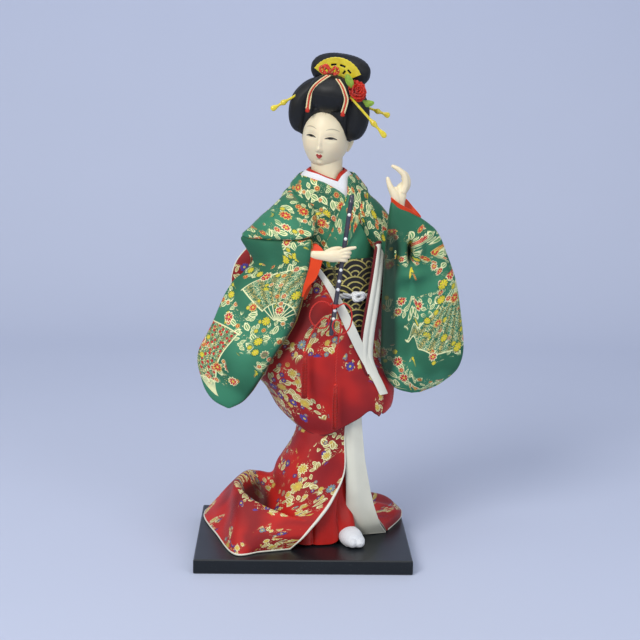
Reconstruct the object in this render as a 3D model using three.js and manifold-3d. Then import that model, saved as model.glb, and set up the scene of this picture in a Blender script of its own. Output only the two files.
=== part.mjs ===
// A standing costume doll on a lacquered board: kimono, outer robe with a train, dressed hair and a flute.
// Millimetres, +Z up. The origin is the centre of the board's underside, and the doll faces -Y.
// Every point of the figure is given from the board's top, in the group named figure.
import * as THREE from 'three';
import { mergeVertices } from 'three/addons/utils/BufferGeometryUtils.js';
import Module from 'manifold-3d';

const wasm = await Module();
wasm.setup();

// Fits
const gap = 0.3;

// Layers wrapped round the body lie this much further apart, for their facets
const layerGap = 0.75;
const boreGap = 0.35;

// Board
const boardWidth = 190;
const boardDepth = 148;
const boardThickness = 13;
const boardEdge = 1;

// Steel rods that carry the figure, sunk into the board from above
const rodRadius = 2;
const rodSink = 9;
const rodTop = 190;
const leftRod = { x: 35, y: -16 };
const rightRod = { x: 13, y: -6 };

// Split-toe socks on small moulded feet
const footLength = 40;
const footWidth = 20;
const footHeight = 17;

// Cloths and bands, thickness of each
const collarThickness = 0.8;
const kimonoThickness = 1.2;
const lapelThickness = 1;
const obiThickness = 2;
const satinThickness = 0.9;
const robeThickness = 1.2;
const bandThickness = 1.4;

// Obi and its cord
const obiBottom = 186;
const obiTop = 249;
const obiCordHeight = 221;
const obiCordRadius = 1.4;

// Stuffed body: height above the board, centre, half width and half depth of each section
const bodySections = [
  { z: 0, x: 9, y: 2, halfWidth: 32, halfDepth: 37 },
  { z: 25, x: 12, y: 1, halfWidth: 28, halfDepth: 31 },
  { z: 60, x: 23, y: -1, halfWidth: 25, halfDepth: 25 },
  { z: 100, x: 30, y: -1, halfWidth: 28, halfDepth: 25 },
  { z: 165, x: 28, y: 1, halfWidth: 32, halfDepth: 27 },
  { z: 215, x: 29, y: 1, halfWidth: 29, halfDepth: 23.5 },
  { z: 262, x: 22, y: 1, halfWidth: 33, halfDepth: 23 },
  { z: 292, x: 17, y: 2, halfWidth: 37, halfDepth: 21 },
  { z: 308, x: 16.5, y: 3, halfWidth: 36, halfDepth: 18 },
  { z: 318, x: 16.5, y: 3, halfWidth: 27, halfDepth: 17 },
  { z: 333, x: 16.5, y: 3, halfWidth: 14.2, halfDepth: 14.2 },
];
const skirtTop = 118;
const bodyTop = 321;

// Head: the neck turns in the collar about a wooden peg
const neck = { x: 16.5, y: 3 };
const neckRadius = 12.6;
const neckTopRadius = 11;
const pegRadius = 4;
const pegDepth = 24;
const pegRise = 14;
const headCentre = { x: 16, y: -1, z: 363 };
const headYaw = -15;
const headRoll = 7.3;
const headBow = 5;
const headHalfWidth = 20.5;
const headHalfDepth = 24;
const headHalfHeight = 29;

// Comb
const combRadius = 22.5;
const combInnerRadius = 8;
const combAngle = 60;
const combThickness = 1.4;
const combCentre = { y: -7.4, z: 42 };
const combTongueWidth = 13;
const combTongueDepth = 9;

// Hairpins, by the end inside the hair and the tip, from the centre of the head
const pinRadius = 1.1;
const pinBulgeRadius = 2.3;
const pins = {
  hairpin_left: { inner: [-12, -3, 42], tip: [-46, -21, 15] },
  hairpin_right_front: { inner: [9, -16.6, 44], tip: [55, -18.5, 6.7] },
  hairpin_right_rear: { inner: [8, 13, 30], tip: [49.3, 16.3, 20.7] },
};

// Hair ornaments
const flowerRadius = 8;
const flowerCentre = [23, -9, 37];
const flowerAxis = [0.77, -0.36, 0.53];
const flowerStem = 14;
const flowerPull = 10;
const strandRadius = 0.8;

// Flute, by its two ends, with round studs along its front
const fluteTop = [36.9, -41, 313];
const fluteBottom = [21.1, -47, 193];
const fluteRadius = 2;
const studRadius = 1.5;
const studPlaces = [0.14, 0.31, 0.53, 0.61, 0.67, 0.82, 0.88];

// Flute cord and tassels
const cordRadius = 0.65;
const tasselRadius = 2.8;
const tasselLength = 42;

const rad = THREE.MathUtils.degToRad;

function paint(color, roughness, metalness = 0) {
  return new THREE.MeshStandardMaterial({ color, roughness, metalness });
}

const paints = {
  lacquer: paint(0x20292f, 0.35),
  steel: paint(0x9a9d9f, 0.4, 1),
  batting: paint(0xe6e2d6, 0.95),
  green: paint(0x2f6a50, 0.6),
  red: paint(0x8a1420, 0.6),
  scarlet: paint(0xc8280f, 0.45),
  white: paint(0xe2e4dc, 0.8),
  obi: paint(0x1c1716, 0.55),
  skin: paint(0xebdebe, 0.5),
  hair: paint(0x14191a, 0.6),
  yellow: paint(0xe0cb1c, 0.35),
  leaf: paint(0x8cb428, 0.5),
  flute: paint(0x2b2b3a, 0.35),
  wood: paint(0xb58a56, 0.7),
  cord: paint(0xc02018, 0.6),
};

// Curves and grids

const point = ([x, y, z]) => new THREE.Vector3(x, y, z);

function mix(before, from, to, after, t) {
  return 0.5 * (2 * from + (to - before) * t
    + (2 * before - 5 * from + 4 * to - after) * t * t
    + (3 * from - before - 3 * to + after) * t * t * t);
}

function between(list, place, closed) {
  const last = list.length - 1;
  const index = Math.floor(place);
  const pick = (i) => (closed ? list[(i + list.length) % list.length] : list[Math.min(Math.max(i, 0), last)]);
  const near = [pick(index - 1), pick(index), pick(index + 1), pick(index + 2)];
  const t = place - index;
  if (typeof near[0] === 'number') return mix(...near, t);
  return new THREE.Vector3(
    mix(...near.map((p) => p.x), t),
    mix(...near.map((p) => p.y), t),
    mix(...near.map((p) => p.z), t),
  );
}

function refine(list, steps, closed = false) {
  const spans = closed ? list.length : list.length - 1;
  const count = closed ? spans * steps : spans * steps + 1;
  return Array.from({ length: count }, (_, i) => between(list, i / steps, closed));
}

function refineGrid(rows, acrossSteps, alongSteps, closed = false) {
  const wide = rows.map((row) => refine(row, acrossSteps, closed));
  const columns = wide[0].map((_, i) => refine(wide.map((row) => row[i]), alongSteps));
  return columns[0].map((_, j) => columns.map((column) => column[j]));
}

// Closed solids

function volumeOf(positions, triangles) {
  let total = 0;
  for (const [a, b, c] of triangles) {
    total += positions[a].dot(new THREE.Vector3().crossVectors(positions[b], positions[c])) / 6;
  }
  return total;
}

function geometryFrom(positions, triangles) {
  const outward = volumeOf(positions, triangles) > 0;
  const geometry = new THREE.BufferGeometry();
  geometry.setAttribute('position', new THREE.Float32BufferAttribute(positions.flatMap((p) => p.toArray()), 3));
  geometry.setIndex(triangles.flatMap(([a, b, c]) => (outward ? [a, b, c] : [a, c, b])));
  return geometry;
}

// A solid through closed rings, with a cap on the first and the last
function loft(rings) {
  const around = rings[0].length;
  const positions = rings.flat().map((p) => p.clone());
  const triangles = [];
  for (let j = 0; j + 1 < rings.length; j += 1) {
    for (let i = 0; i < around; i += 1) {
      const a = j * around + i;
      const b = j * around + ((i + 1) % around);
      triangles.push([a, b, b + around], [a, b + around, a + around]);
    }
  }
  const cap = (ring, start, flip) => {
    const middle = ring.reduce((sum, p) => sum.add(p), new THREE.Vector3()).divideScalar(around);
    positions.push(middle);
    const centre = positions.length - 1;
    for (let i = 0; i < around; i += 1) {
      const next = start + ((i + 1) % around);
      triangles.push(flip ? [centre, next, start + i] : [centre, start + i, next]);
    }
  };
  cap(rings[0], 0, true);
  cap(rings[rings.length - 1], (rings.length - 1) * around, false);
  return geometryFrom(positions, triangles);
}

// A cloth of even thickness whose middle surface is the grid
function sheet(grid, thickness, grow = 0) {
  const rows = grid.length;
  const columns = grid[0].length;
  const at = (j, i) => grid[Math.min(Math.max(j, 0), rows - 1)][Math.min(Math.max(i, 0), columns - 1)];
  const front = [];
  const back = [];
  for (let j = 0; j < rows; j += 1) {
    for (let i = 0; i < columns; i += 1) {
      const across = at(j, i + 1).clone().sub(at(j, i - 1));
      const along = at(j + 1, i).clone().sub(at(j - 1, i));
      const normal = across.clone().cross(along).normalize();
      const edge = new THREE.Vector3();
      if (i === 0) edge.add(across.clone().setLength(-grow));
      if (i === columns - 1) edge.add(across.clone().setLength(grow));
      if (j === 0) edge.add(along.clone().setLength(-grow));
      if (j === rows - 1) edge.add(along.clone().setLength(grow));
      const middle = at(j, i).clone().add(edge);
      front.push(middle.clone().addScaledVector(normal, thickness / 2 + grow));
      back.push(middle.clone().addScaledVector(normal, -thickness / 2 - grow));
    }
  }
  const offset = front.length;
  const triangles = [];
  const quad = (a, b, c, d) => triangles.push([a, b, c], [a, c, d]);
  for (let j = 0; j + 1 < rows; j += 1) {
    for (let i = 0; i + 1 < columns; i += 1) {
      const a = j * columns + i;
      quad(a, a + 1, a + 1 + columns, a + columns);
      quad(offset + a, offset + a + columns, offset + a + 1 + columns, offset + a + 1);
    }
  }
  for (let i = 0; i + 1 < columns; i += 1) {
    const low = (rows - 1) * columns + i;
    quad(i + 1, i, offset + i, offset + i + 1);
    quad(low, low + 1, offset + low + 1, offset + low);
  }
  for (let j = 0; j + 1 < rows; j += 1) {
    const left = j * columns;
    const right = left + columns - 1;
    quad(left, left + columns, offset + left + columns, offset + left);
    quad(right + columns, right, offset + right, offset + right + columns);
  }
  return geometryFrom([...front, ...back], triangles);
}

// A band that closes on itself round the body, between an inner and an outer ring at each height
function ringBand(innerRings, outerRings) {
  const around = innerRings[0].length;
  const rings = [...innerRings, ...[...outerRings].reverse()];
  const positions = rings.flat();
  const triangles = [];
  for (let j = 0; j < rings.length; j += 1) {
    const below = ((j + 1) % rings.length) * around;
    for (let i = 0; i < around; i += 1) {
      const next = (i + 1) % around;
      triangles.push([j * around + i, j * around + next, below + next]);
      triangles.push([j * around + i, below + next, below + i]);
    }
  }
  return geometryFrom(positions, triangles);
}

// A tapered rod with round ends through points, each with its own radius, flattened by a ratio
function limb(points, radii, { sides = 12, steps = 2, flat = 1, up = [0, 1, 0], grow = 0 } = {}) {
  const path = refine(points.map(point), steps);
  const sizes = refine(radii, steps).map((r) => r + grow);
  const last = path.length - 1;
  const headings = path.map((_, i) => path[Math.min(i + 1, last)].clone().sub(path[Math.max(i - 1, 0)]).normalize());
  const ring = (centre, heading, radius) => {
    const side = new THREE.Vector3().crossVectors(heading, point(up)).normalize();
    const depth = new THREE.Vector3().crossVectors(side, heading).normalize();
    return Array.from({ length: sides }, (_, k) => {
      const angle = (k / sides) * Math.PI * 2;
      const deep = Math.sin(angle) * (radius * flat + (flat < 1 ? grow * (1 - flat) : 0));
      return centre.clone().addScaledVector(side, Math.cos(angle) * radius).addScaledVector(depth, deep);
    });
  };
  const roundEnd = (i, sign) => [0.75].map((reach) => {
    const radius = sizes[i] * Math.sqrt(1 - reach * reach);
    return ring(path[i].clone().addScaledVector(headings[i], sign * sizes[i] * reach * flat), headings[i], radius);
  });
  const middle = path.map((centre, i) => ring(centre, headings[i], sizes[i]));
  return loft([...roundEnd(0, -1).reverse(), ...middle, ...roundEnd(last, 1)]);
}

// A ball-like form: place(direction) gives the surface point in each direction
function ball(place, around = 24, up = 14) {
  const rings = [];
  for (let j = 1; j < up; j += 1) {
    const tilt = (j / up) * Math.PI;
    rings.push(Array.from({ length: around }, (_, i) => {
      const turn = (i / around) * Math.PI * 2;
      return place(new THREE.Vector3(Math.sin(tilt) * Math.cos(turn), Math.sin(tilt) * Math.sin(turn), Math.cos(tilt)));
    }));
  }
  return loft(rings);
}

function egg(centre, radii, grow = 0, power = 1, around = 24, up = 14) {
  const soften = (value) => Math.sign(value) * Math.abs(value) ** power;
  return ball((d) => new THREE.Vector3(
    centre[0] + soften(d.x) * (radii[0] + grow),
    centre[1] + soften(d.y) * (radii[1] + grow),
    centre[2] + soften(d.z) * (radii[2] + grow),
  ), around, up);
}

function indexed(geometry) {
  const bare = geometry.clone();
  bare.deleteAttribute('normal');
  bare.deleteAttribute('uv');
  return mergeVertices(bare, 1e-4);
}

function solidOf(geometry) {
  const merged = indexed(geometry);
  return new wasm.Manifold(new wasm.Mesh({
    numProp: 3,
    vertProperties: new Float32Array(merged.attributes.position.array),
    triVerts: new Uint32Array(merged.index.array),
  }));
}

function geometryOf(solid) {
  const pieces = solid.decompose().sort((a, b) => b.volume() - a.volume());
  const shape = pieces[0].getMesh();
  const geometry = new THREE.BufferGeometry();
  geometry.setAttribute('position', new THREE.BufferAttribute(new Float32Array(shape.vertProperties), 3));
  geometry.setIndex(new THREE.BufferAttribute(new Uint32Array(shape.triVerts), 1));
  return geometry;
}

const join = (first, ...others) => others.reduce((sum, next) => sum.add(solidOf(next)), solidOf(first));
const carve = (solid, ...cutters) => cutters.reduce((rest, cutter) => rest.subtract(cutter), solid);

// Body surface

function sectionAt(z, sections = bodySections) {
  const last = sections.length - 1;
  let index = sections.findIndex((section) => section.z > z) - 1;
  if (index < 0) index = z < sections[0].z ? 0 : last - 1;
  const t = (z - sections[index].z) / (sections[index + 1].z - sections[index].z);
  const blend = (key) => between(sections.map((section) => section[key]), Math.min(index + t, last), false);
  return { x: blend('x'), y: blend('y'), halfWidth: blend('halfWidth'), halfDepth: blend('halfDepth') };
}

// A point on the stuffed body: angle 0 is the front, positive towards +X, and out is the distance outside it
function onBody(angle, z, out = 0) {
  const section = sectionAt(z);
  return new THREE.Vector3(
    section.x + Math.sin(rad(angle)) * (section.halfWidth + out),
    section.y - Math.cos(rad(angle)) * (section.halfDepth + out),
    z,
  );
}

function bodyRing(z, out, around = 20) {
  return Array.from({ length: around }, (_, i) => onBody((i / around) * 360, z, out));
}

function heights(bottom, top, count) {
  return Array.from({ length: count }, (_, i) => bottom + ((top - bottom) * i) / (count - 1));
}

function bodyLoft(bottom, top, out, count = 10) {
  return loft(heights(bottom, top, count).map((z) => bodyRing(z, out)));
}

// A cloth laid on the body between two edges, each a list of [angle, height] pairs
function clothOnBody(edges, out, thickness, { acrossSteps = 3, alongSteps = 3, grow = 0 } = {}) {
  const rows = edges.map((edge) => edge.map(([angle, z]) => onBody(angle, z, out + thickness / 2)));
  return sheet(refineGrid(rows, acrossSteps, alongSteps), thickness, grow);
}

// The groups

const doll = new THREE.Group();
const figure = new THREE.Group();
figure.position.z = boardThickness;
doll.add(figure);

function piece(name, geometry, material, group = figure) {
  geometry.computeVertexNormals();
  const mesh = new THREE.Mesh(geometry, material);
  mesh.name = name;
  group.add(mesh);
  return mesh;
}

// Board with a small chamfer on both faces and two blind holes for the rods

function rectangle(width, depth, z) {
  return [[-1, -1], [1, -1], [1, 1], [-1, 1]].map(([sx, sy]) => new THREE.Vector3((sx * width) / 2, (sy * depth) / 2, z));
}

function upright(x, y, bottom, top, radius, sides = 10) {
  const post = new THREE.CylinderGeometry(radius, radius, top - bottom, sides);
  return indexed(post.rotateX(Math.PI / 2).translate(x, y, (bottom + top) / 2));
}

const rodAt = (rod, bottom, top, radius) => upright(rod.x, rod.y, bottom, top, radius);

function makeBoard() {
  const inset = 2 * boardEdge;
  const block = loft([
    rectangle(boardWidth - inset, boardDepth - inset, -boardThickness),
    rectangle(boardWidth, boardDepth, -boardThickness + boardEdge),
    rectangle(boardWidth, boardDepth, -boardEdge),
    rectangle(boardWidth - inset, boardDepth - inset, 0),
  ]);
  const holes = [leftRod, rightRod].map((rod) => solidOf(rodAt(rod, -rodSink, boardThickness, rodRadius + boreGap)));
  return geometryOf(carve(solidOf(block), ...holes));
}

piece('base_board', makeBoard(), paints.lacquer);
const deck = solidOf(new THREE.BoxGeometry(2 * boardWidth, 2 * boardDepth, boardThickness)
  .translate(0, 0, gap - boardThickness / 2));

const rodCutters = [leftRod, rightRod].map((rod) => solidOf(rodAt(rod, -rodSink, rodTop, rodRadius + boreGap)));
piece('rod_left', rodAt(leftRod, -rodSink + boreGap, rodTop - boreGap, rodRadius), paints.steel);
piece('rod_right', rodAt(rightRod, -rodSink + boreGap, rodTop - boreGap, rodRadius), paints.steel);

// Feet

function foot(rod, turn, grow = 0) {
  const heel = footLength * 0.22;
  const stations = [
    [-heel, 0.22, 0.5], [-heel * 0.8, 0.38, 0.9], [heel * 0.5, 0.42, 1], [footLength * 0.4, 0.47, 0.78],
    [footLength * 0.62, 0.5, 0.6], [footLength * 0.74, 0.4, 0.46], [footLength * 0.79, 0.22, 0.3],
  ];
  const rings = stations.map(([along, wide, high]) => Array.from({ length: 12 }, (_, k) => {
    const angle = (k / 12) * Math.PI * 2;
    const across = Math.cos(angle) * (footWidth * wide + grow);
    const middle = (footHeight * high) / 2;
    const rise = gap + middle + Math.sin(angle) * (middle + grow) * (Math.sin(angle) < 0 ? 0.999 : 1);
    return new THREE.Vector3(
      rod.x + Math.sin(rad(turn)) * along + Math.cos(rad(turn)) * across,
      rod.y - Math.cos(rad(turn)) * along + Math.sin(rad(turn)) * across,
      rise,
    );
  }));
  return loft(rings);
}

const leftFoot = (grow) => foot(leftRod, 14, grow);
const rightFoot = (grow) => foot(rightRod, -10, grow);
piece('tabi_left', geometryOf(carve(solidOf(leftFoot(0)), rodCutters[0])), paints.white);
piece('tabi_right', geometryOf(carve(solidOf(rightFoot(0)), rodCutters[1])), paints.white);
const feet = [solidOf(leftFoot(gap)), solidOf(rightFoot(gap))];

// Satin underskirt: a cloth over the padding, seen in the opening of the robe

const satinOut = layerGap + satinThickness / 2;
const satinEdges = [[118, 112], [80, 75], [40, 40], [2 * gap, 2 * gap]].map(([left, right], row) => {
  const angles = [-92, -60, -30, 0, 30, 60, 92];
  return angles.map((angle, i) => onBody(angle, left + ((right - left) * i) / 6, satinOut + (row ? 0.5 * (i % 2) : 0)));
});
const satinGrid = refineGrid(satinEdges, 2, 2);
piece('satin_underskirt', geometryOf(carve(solidOf(sheet(satinGrid, satinThickness)), ...feet)), paints.scarlet);
const satinCutter = solidOf(sheet(satinGrid, satinThickness, gap));

// Stuffed skirt form, which the satin lies on

const skirtForm = solidOf(bodyLoft(gap, skirtTop - gap, -0.7, 5));
piece('skirt_padding', geometryOf(carve(skirtForm, ...rodCutters, ...feet)), paints.batting);

// Lower robe: its cloth falls from the hips to the hem, spread over the board as a train on the left

const liningGrid = refineGrid([
  [[37, -28.4, 124], [47, -26, 124], [57, -19, 124]],
  [[36, -30, 100], [46, -29, 100], [57, -18, 100]],
  [[36, -29.5, 70], [46, -29, 70], [58, -14, 70]],
  [[39, -20, 38], [50, -20, 38], [65, -8, 38]],
  [[43, -2, gap + 0.7], [58, -6, gap + 0.7], [77, 3, gap + 0.7]],
].map((row) => row.map(point)), 3, 3);
const lining = carve(solidOf(sheet(liningGrid, robeThickness)), satinCutter, solidOf(bodyLoft(-1, 119, gap, 7)), ...feet, deck);
piece('robe_lining_panel', geometryOf(lining), paints.white);
const liningCutter = solidOf(sheet(liningGrid, robeThickness, gap));

const trainRows = [
  [14, -15, -45, -75, -105, -135, -170, -215, -260, -292].map((angle) => onBody(angle, 124, 2.2)),
  [
    [38, -31, 96], [22, -34, 95], [4, -28, 95], [-8, -10, 95], [-4, 12, 95],
    [10, 27, 95], [30, 32, 95], [52, 26, 95], [64, 8, 95], [61, -12, 95],
  ].map(point),
  [
    [37, -32, 68], [14, -36, 66], [-10, -30, 64], [-23, -6, 68], [-20, 18, 62],
    [2, 36, 60], [30, 42, 60], [56, 36, 60], [69, 16, 62], [64, -8, 66],
  ].map(point),
  [
    [22, -40, 41], [-6, -42, 38], [-30, -36, 34], [-36, -8, 38], [-52, 18, 49],
    [-26, 46, 36], [22, 54, 32], [58, 48, 30], [78, 26, 30], [70, -2, 33],
  ].map(point),
  [
    [4, -47, 17], [-28, -51, 14], [-52, -47, 12], [-64, -12, 20], [-76, 22, 24],
    [-54, 60, 12], [12, 64, 10], [62, 59, 10], [88, 40, 9], [76, 2, 12],
  ].map(point),
  [
    [-10, -47, 1], [-34, -55, 1], [-59, -60, 1], [-74, -14, 1], [-92, 52, 1],
    [-72, 70, 1], [0, 71, 1], [60, 70, 1], [92, 58, 1], [80, 5, 1],
  ].map(point),
];
const trainGrid = refineGrid(trainRows, 2, 2);
const train = carve(solidOf(sheet(trainGrid, robeThickness)), liningCutter, satinCutter, solidOf(bodyLoft(-1, 126, gap, 7)), ...feet, deck);
piece('robe_train', geometryOf(train), paints.red);

// Collars, kimono and lapels, laid one over the other on the torso

const redOut = gap;
const whiteOut = redOut + collarThickness + gap;
const kimonoOut = whiteOut + collarThickness + gap;
const lapelOut = kimonoOut + kimonoThickness + layerGap;
const obiOut = lapelOut + gap;

const redEdges = [
  [[12, 322], [-30, 327], [-75, 331], [-120, 332], [-180, 332.5], [-240, 332], [-290, 331], [-325, 328], [-345, 323]],
  [[14, 316], [-32, 320], [-75, 325], [-120, 326], [-180, 326.5], [-240, 326], [-290, 325], [-327, 321], [-343, 317]],
];
const whiteEdges = [
  [[17, 314], [-28, 322], [-75, 328], [-120, 330], [-180, 330.5], [-240, 330], [-290, 329], [-322, 323], [-338, 315]],
  [[23, 305], [-22, 306], [-70, 318], [-120, 322], [-180, 322.5], [-240, 322], [-290, 319], [-318, 310], [-334, 303]],
];
const bodiceTop = [
  [18, 303], [-18, 309], [-50, 318], [-85, 324], [-130, 327],
  [-180, 328], [-230, 327], [-275, 324], [-310, 317], [-336, 305],
];
const bodiceEdges = [0, 0.12, 0.26, 0.42, 0.6, 0.8, 1].map((share) => (
  bodiceTop.map(([angle, z]) => [angle, z + (obiBottom - z) * share])
));
const lapelEnd = obiTop + gap;
const lapelRightEdges = [
  [[-150, 328], [-85, 326.5], [-45, 319], [-12, 309], [14, 296], [30, 276], [36, lapelEnd]],
  [[-150, 321], [-88, 318], [-52, 309], [-20, 297], [4, 284], [14, 268], [16, lapelEnd]],
];
const lapelLeftEdges = [
  [[-152, 328], [-215, 326.5], [-275, 325], [-312, 318], [-331, 308]],
  [[-152, 321], [-215, 318], [-270, 316], [-303, 307], [-319, 294]],
];

const lapels = [lapelRightEdges, lapelLeftEdges].map((edges) => (
  (grow) => clothOnBody(edges, lapelOut, lapelThickness, { acrossSteps: 2, alongSteps: 1, grow })
));
const lapelRooms = lapels.map((lapel) => solidOf(lapel(gap)));
piece('lapel_right', lapels[0](0), paints.green);
piece('lapel_left', lapels[1](0), paints.green);

const bodiceCloth = (grow) => clothOnBody(bodiceEdges, kimonoOut, kimonoThickness, { acrossSteps: 2, alongSteps: 1, grow });
const bodiceRoom = solidOf(bodiceCloth(gap));
const obiRoom = solidOf(bodyLoft(obiBottom - gap, obiTop + gap, obiOut + obiThickness + gap, 5));
piece('kimono_bodice', geometryOf(carve(solidOf(bodiceCloth(0)), ...lapelRooms)), paints.green);

const whiteCloth = (grow) => clothOnBody(whiteEdges, whiteOut, collarThickness, { acrossSteps: 2, alongSteps: 1, grow });
const whiteRoom = solidOf(whiteCloth(gap));
piece('under_collar_white', geometryOf(carve(solidOf(whiteCloth(0)), ...lapelRooms, bodiceRoom)), paints.white);

const redCloth = (grow) => clothOnBody(redEdges, redOut, collarThickness, { acrossSteps: 2, alongSteps: 1, grow });
const redRoom = solidOf(redCloth(gap));
piece('under_collar_red', geometryOf(carve(solidOf(redCloth(0)), whiteRoom, bodiceRoom)), paints.scarlet);

// Torso, stuffed, with the socket of the neck peg

const pegTop = bodyTop + pegRise;
const pegRoom = solidOf(upright(neck.x, neck.y, bodyTop - pegDepth, pegTop, pegRadius + boreGap));
const torso = carve(solidOf(bodyLoft(skirtTop, bodyTop, 0, 9)), ...rodCutters, pegRoom, bodiceRoom, whiteRoom, redRoom);
piece('body_core', geometryOf(torso), paints.batting);

// Obi and the round cord tied over it

function band(bottom, top, out, thickness, count) {
  const levels = heights(bottom, top, count);
  return ringBand(levels.map((z) => bodyRing(z, out)), levels.map((z) => bodyRing(z, out + thickness)));
}

const obiBand = solidOf(band(obiBottom, obiTop, obiOut, obiThickness, 4));
piece('obi', geometryOf(carve(obiBand, bodiceRoom)), paints.obi);
const obiFace = obiOut + obiThickness;

const cordRings = [-1, -0.5, 0.5, 1].map((rise) => {
  const swell = obiCordRadius * (1 + Math.sqrt(1 - rise * rise));
  return { z: obiCordHeight + rise * obiCordRadius, swell };
});
piece('obi_cord', ringBand(
  cordRings.map(({ z }) => bodyRing(z, obiFace + 3 * gap)),
  cordRings.map(({ z, swell }) => bodyRing(z, obiFace + 3 * gap + swell)),
), paints.white);
const knotCentre = onBody(28, obiCordHeight, obiFace + 4 * gap + 2 * obiCordRadius + 2.3);
piece('obi_cord_knot', egg(knotCentre.toArray(), [5, 2.2, 3.6], 0, 0.8, 12, 7), paints.white);

const chestRoom = solidOf(bodyLoft(obiTop - 1, bodyTop - 1, lapelOut + lapelThickness + 4 * gap, 6));
const hipRoom = solidOf(bodyLoft(skirtTop, obiBottom + 1, 2 * gap, 5));
const obiCordRoom = solidOf(bodyLoft(
  obiCordHeight - 2 * obiCordRadius,
  obiCordHeight + 2 * obiCordRadius,
  obiFace + 4 * gap + 2 * obiCordRadius,
  2,
));

// Arms: wire arms wound with batting, by shoulder, elbow and wrist

const shoulderRight = [-6, 3, 294];
const elbowRight = [-40, -12, 258];
const wristRight = [4, -44.5, 261.2];
const shoulderLeft = [46, 3, 292];
const elbowLeft = [86, -4, 232];
const wristLeft = [79, -28, 297];
const armRadii = [8, 7.5, 5.5];

function arm(shoulder, elbow, wrist, grow) {
  const [top, middle, end] = armRadii;
  return join(
    limb([shoulder, elbow], [top, middle], { steps: 1, sides: 6, grow, up: [0, 0.2, 1] }),
    limb([elbow, wrist], [middle, end], { steps: 1, sides: 6, grow, up: [0.3, 1, 0] }),
  );
}

const armRight = (grow) => arm(shoulderRight, elbowRight, wristRight, grow);
const armLeft = (grow) => arm(shoulderLeft, elbowLeft, wristLeft, grow);

const leftSleeveTube = (grow) => limb(
  [[44, 3, 294], [66, 0, 272], [84, -6, 238]],
  [18, 17, 14],
  { steps: 2, grow, up: [0, 1, 0], sides: 12 },
);
const leftArmRooms = [armLeft(gap), solidOf(leftSleeveTube(gap))];

// Outer robe, from a white-banded edge at the front round the back to a tall turned fold at the right

const robeSections = [
  { z: 104, x: 22, y: -2, halfWidth: 44, halfDepth: 33 },
  { z: 121, x: 24, y: -2, halfWidth: 53, halfDepth: 35 },
  { z: 149, x: 17, y: -1, halfWidth: 58, halfDepth: 37 },
  { z: 169, x: 15, y: 0, halfWidth: 52, halfDepth: 37 },
  { z: 206, x: 23, y: 1, halfWidth: 45, halfDepth: 36 },
  { z: 240, x: 24.5, y: 1, halfWidth: 43.5, halfDepth: 35 },
  { z: 275, x: 21, y: 2, halfWidth: 44, halfDepth: 33 },
];
const robeEdge = [[252, -42], [229, -16], [206, 6], [185, 21], [169, 33], [150, 47], [135, 61]];
const robeEnd = [[272, -300], [229, -317], [194, -321], [160, -318], [135, -312]];

function lookUp(table, z) {
  const sorted = [...table].sort((a, b) => a[0] - b[0]);
  const index = Math.min(Math.max(sorted.findIndex((row) => row[0] >= z), 1), sorted.length - 1);
  const [[lowZ, low], [highZ, high]] = [sorted[index - 1], sorted[index]];
  return low + (high - low) * Math.min(Math.max((z - lowZ) / (highZ - lowZ), 0), 1);
}

function onRobe(angle, z, out = 0) {
  const section = sectionAt(z, robeSections);
  return new THREE.Vector3(
    section.x + Math.sin(rad(angle)) * (section.halfWidth + out),
    section.y - Math.cos(rad(angle)) * (section.halfDepth + out),
    z,
  );
}

const robeColumns = [0, 0.1, 0.2, 0.3, 0.42, 0.55, 0.68, 0.8, 0.9, 1];
const robeTops = [252, 251, 250, 250, 250, 251, 252, 253, 260, 272];
const robeHems = [135, 112, 104, 112, 120, 122, 122, 122, 121, 132];
const robeRows = [0, 0.2, 0.4, 0.6, 0.8, 1].map((t) => robeColumns.map((share, i) => {
  const z = robeTops[i] + (robeHems[i] - robeTops[i]) * t;
  const angle = lookUp(robeEdge, z) + (lookUp(robeEnd, z) - lookUp(robeEdge, z)) * share;
  return onRobe(angle, z, 4.5 - 4.5 * share + (i % 2 ? 2.2 * t : 0));
}));
const robeGrid = refineGrid(robeRows, 2, 1);
const outerRobe = carve(solidOf(sheet(robeGrid, robeThickness)), hipRoom, chestRoom, obiRoom, obiCordRoom, ...leftArmRooms);
piece('outer_robe', geometryOf(outerRobe), paints.red);
const robeCutter = solidOf(sheet(robeGrid, robeThickness, gap));

const bandHeights = [252, 229, 206, 185, 169, 150, 137];
const bandWidths = [4, 6, 8, 9, 10, 10, 10];
const bandOut = 4.5 + robeThickness / 2 + gap + bandThickness / 2;
const bandRows = bandHeights.map((z, i) => [0, 0.5, 1].map((share) => {
  const wide = (bandWidths[i] / sectionAt(z, robeSections).halfWidth) * (180 / Math.PI);
  return onRobe(lookUp(robeEdge, z) + wide * (share - 0.45), z, bandOut);
}));
const bandGrid = refineGrid(bandRows, 2, 2);
piece('outer_robe_band', geometryOf(carve(solidOf(sheet(bandGrid, bandThickness)), robeCutter)), paints.white);

const facingWidth = 12;
const facingHeights = [270, 245, 220, 195, 172, 156];
const facingRows = facingHeights.map((z, i) => [0, 0.5, 1].map((share) => {
  const wide = i ? facingWidth : facingWidth / 2;
  return onRobe(lookUp(robeEnd, z) + wide * (share - 0.3), z, robeThickness / 2 + gap + bandThickness / 2 + 1.2);
}));
const facingGrid = refineGrid(facingRows, 2, 2);
const bandCutter = solidOf(sheet(bandGrid, bandThickness, gap));
const facingRoom = solidOf(sheet(facingGrid, bandThickness, gap));
piece('outer_robe_facing', geometryOf(carve(solidOf(sheet(facingGrid, bandThickness)), robeCutter, bandCutter, chestRoom, ...leftArmRooms)), paints.white);

// Arms, hands and the flute

const fluteAxis = point(fluteTop).sub(point(fluteBottom)).normalize();
const fluteLength = point(fluteTop).distanceTo(point(fluteBottom));
const alongFlute = (share) => point(fluteTop).addScaledVector(fluteAxis, -fluteLength * share);

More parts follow.
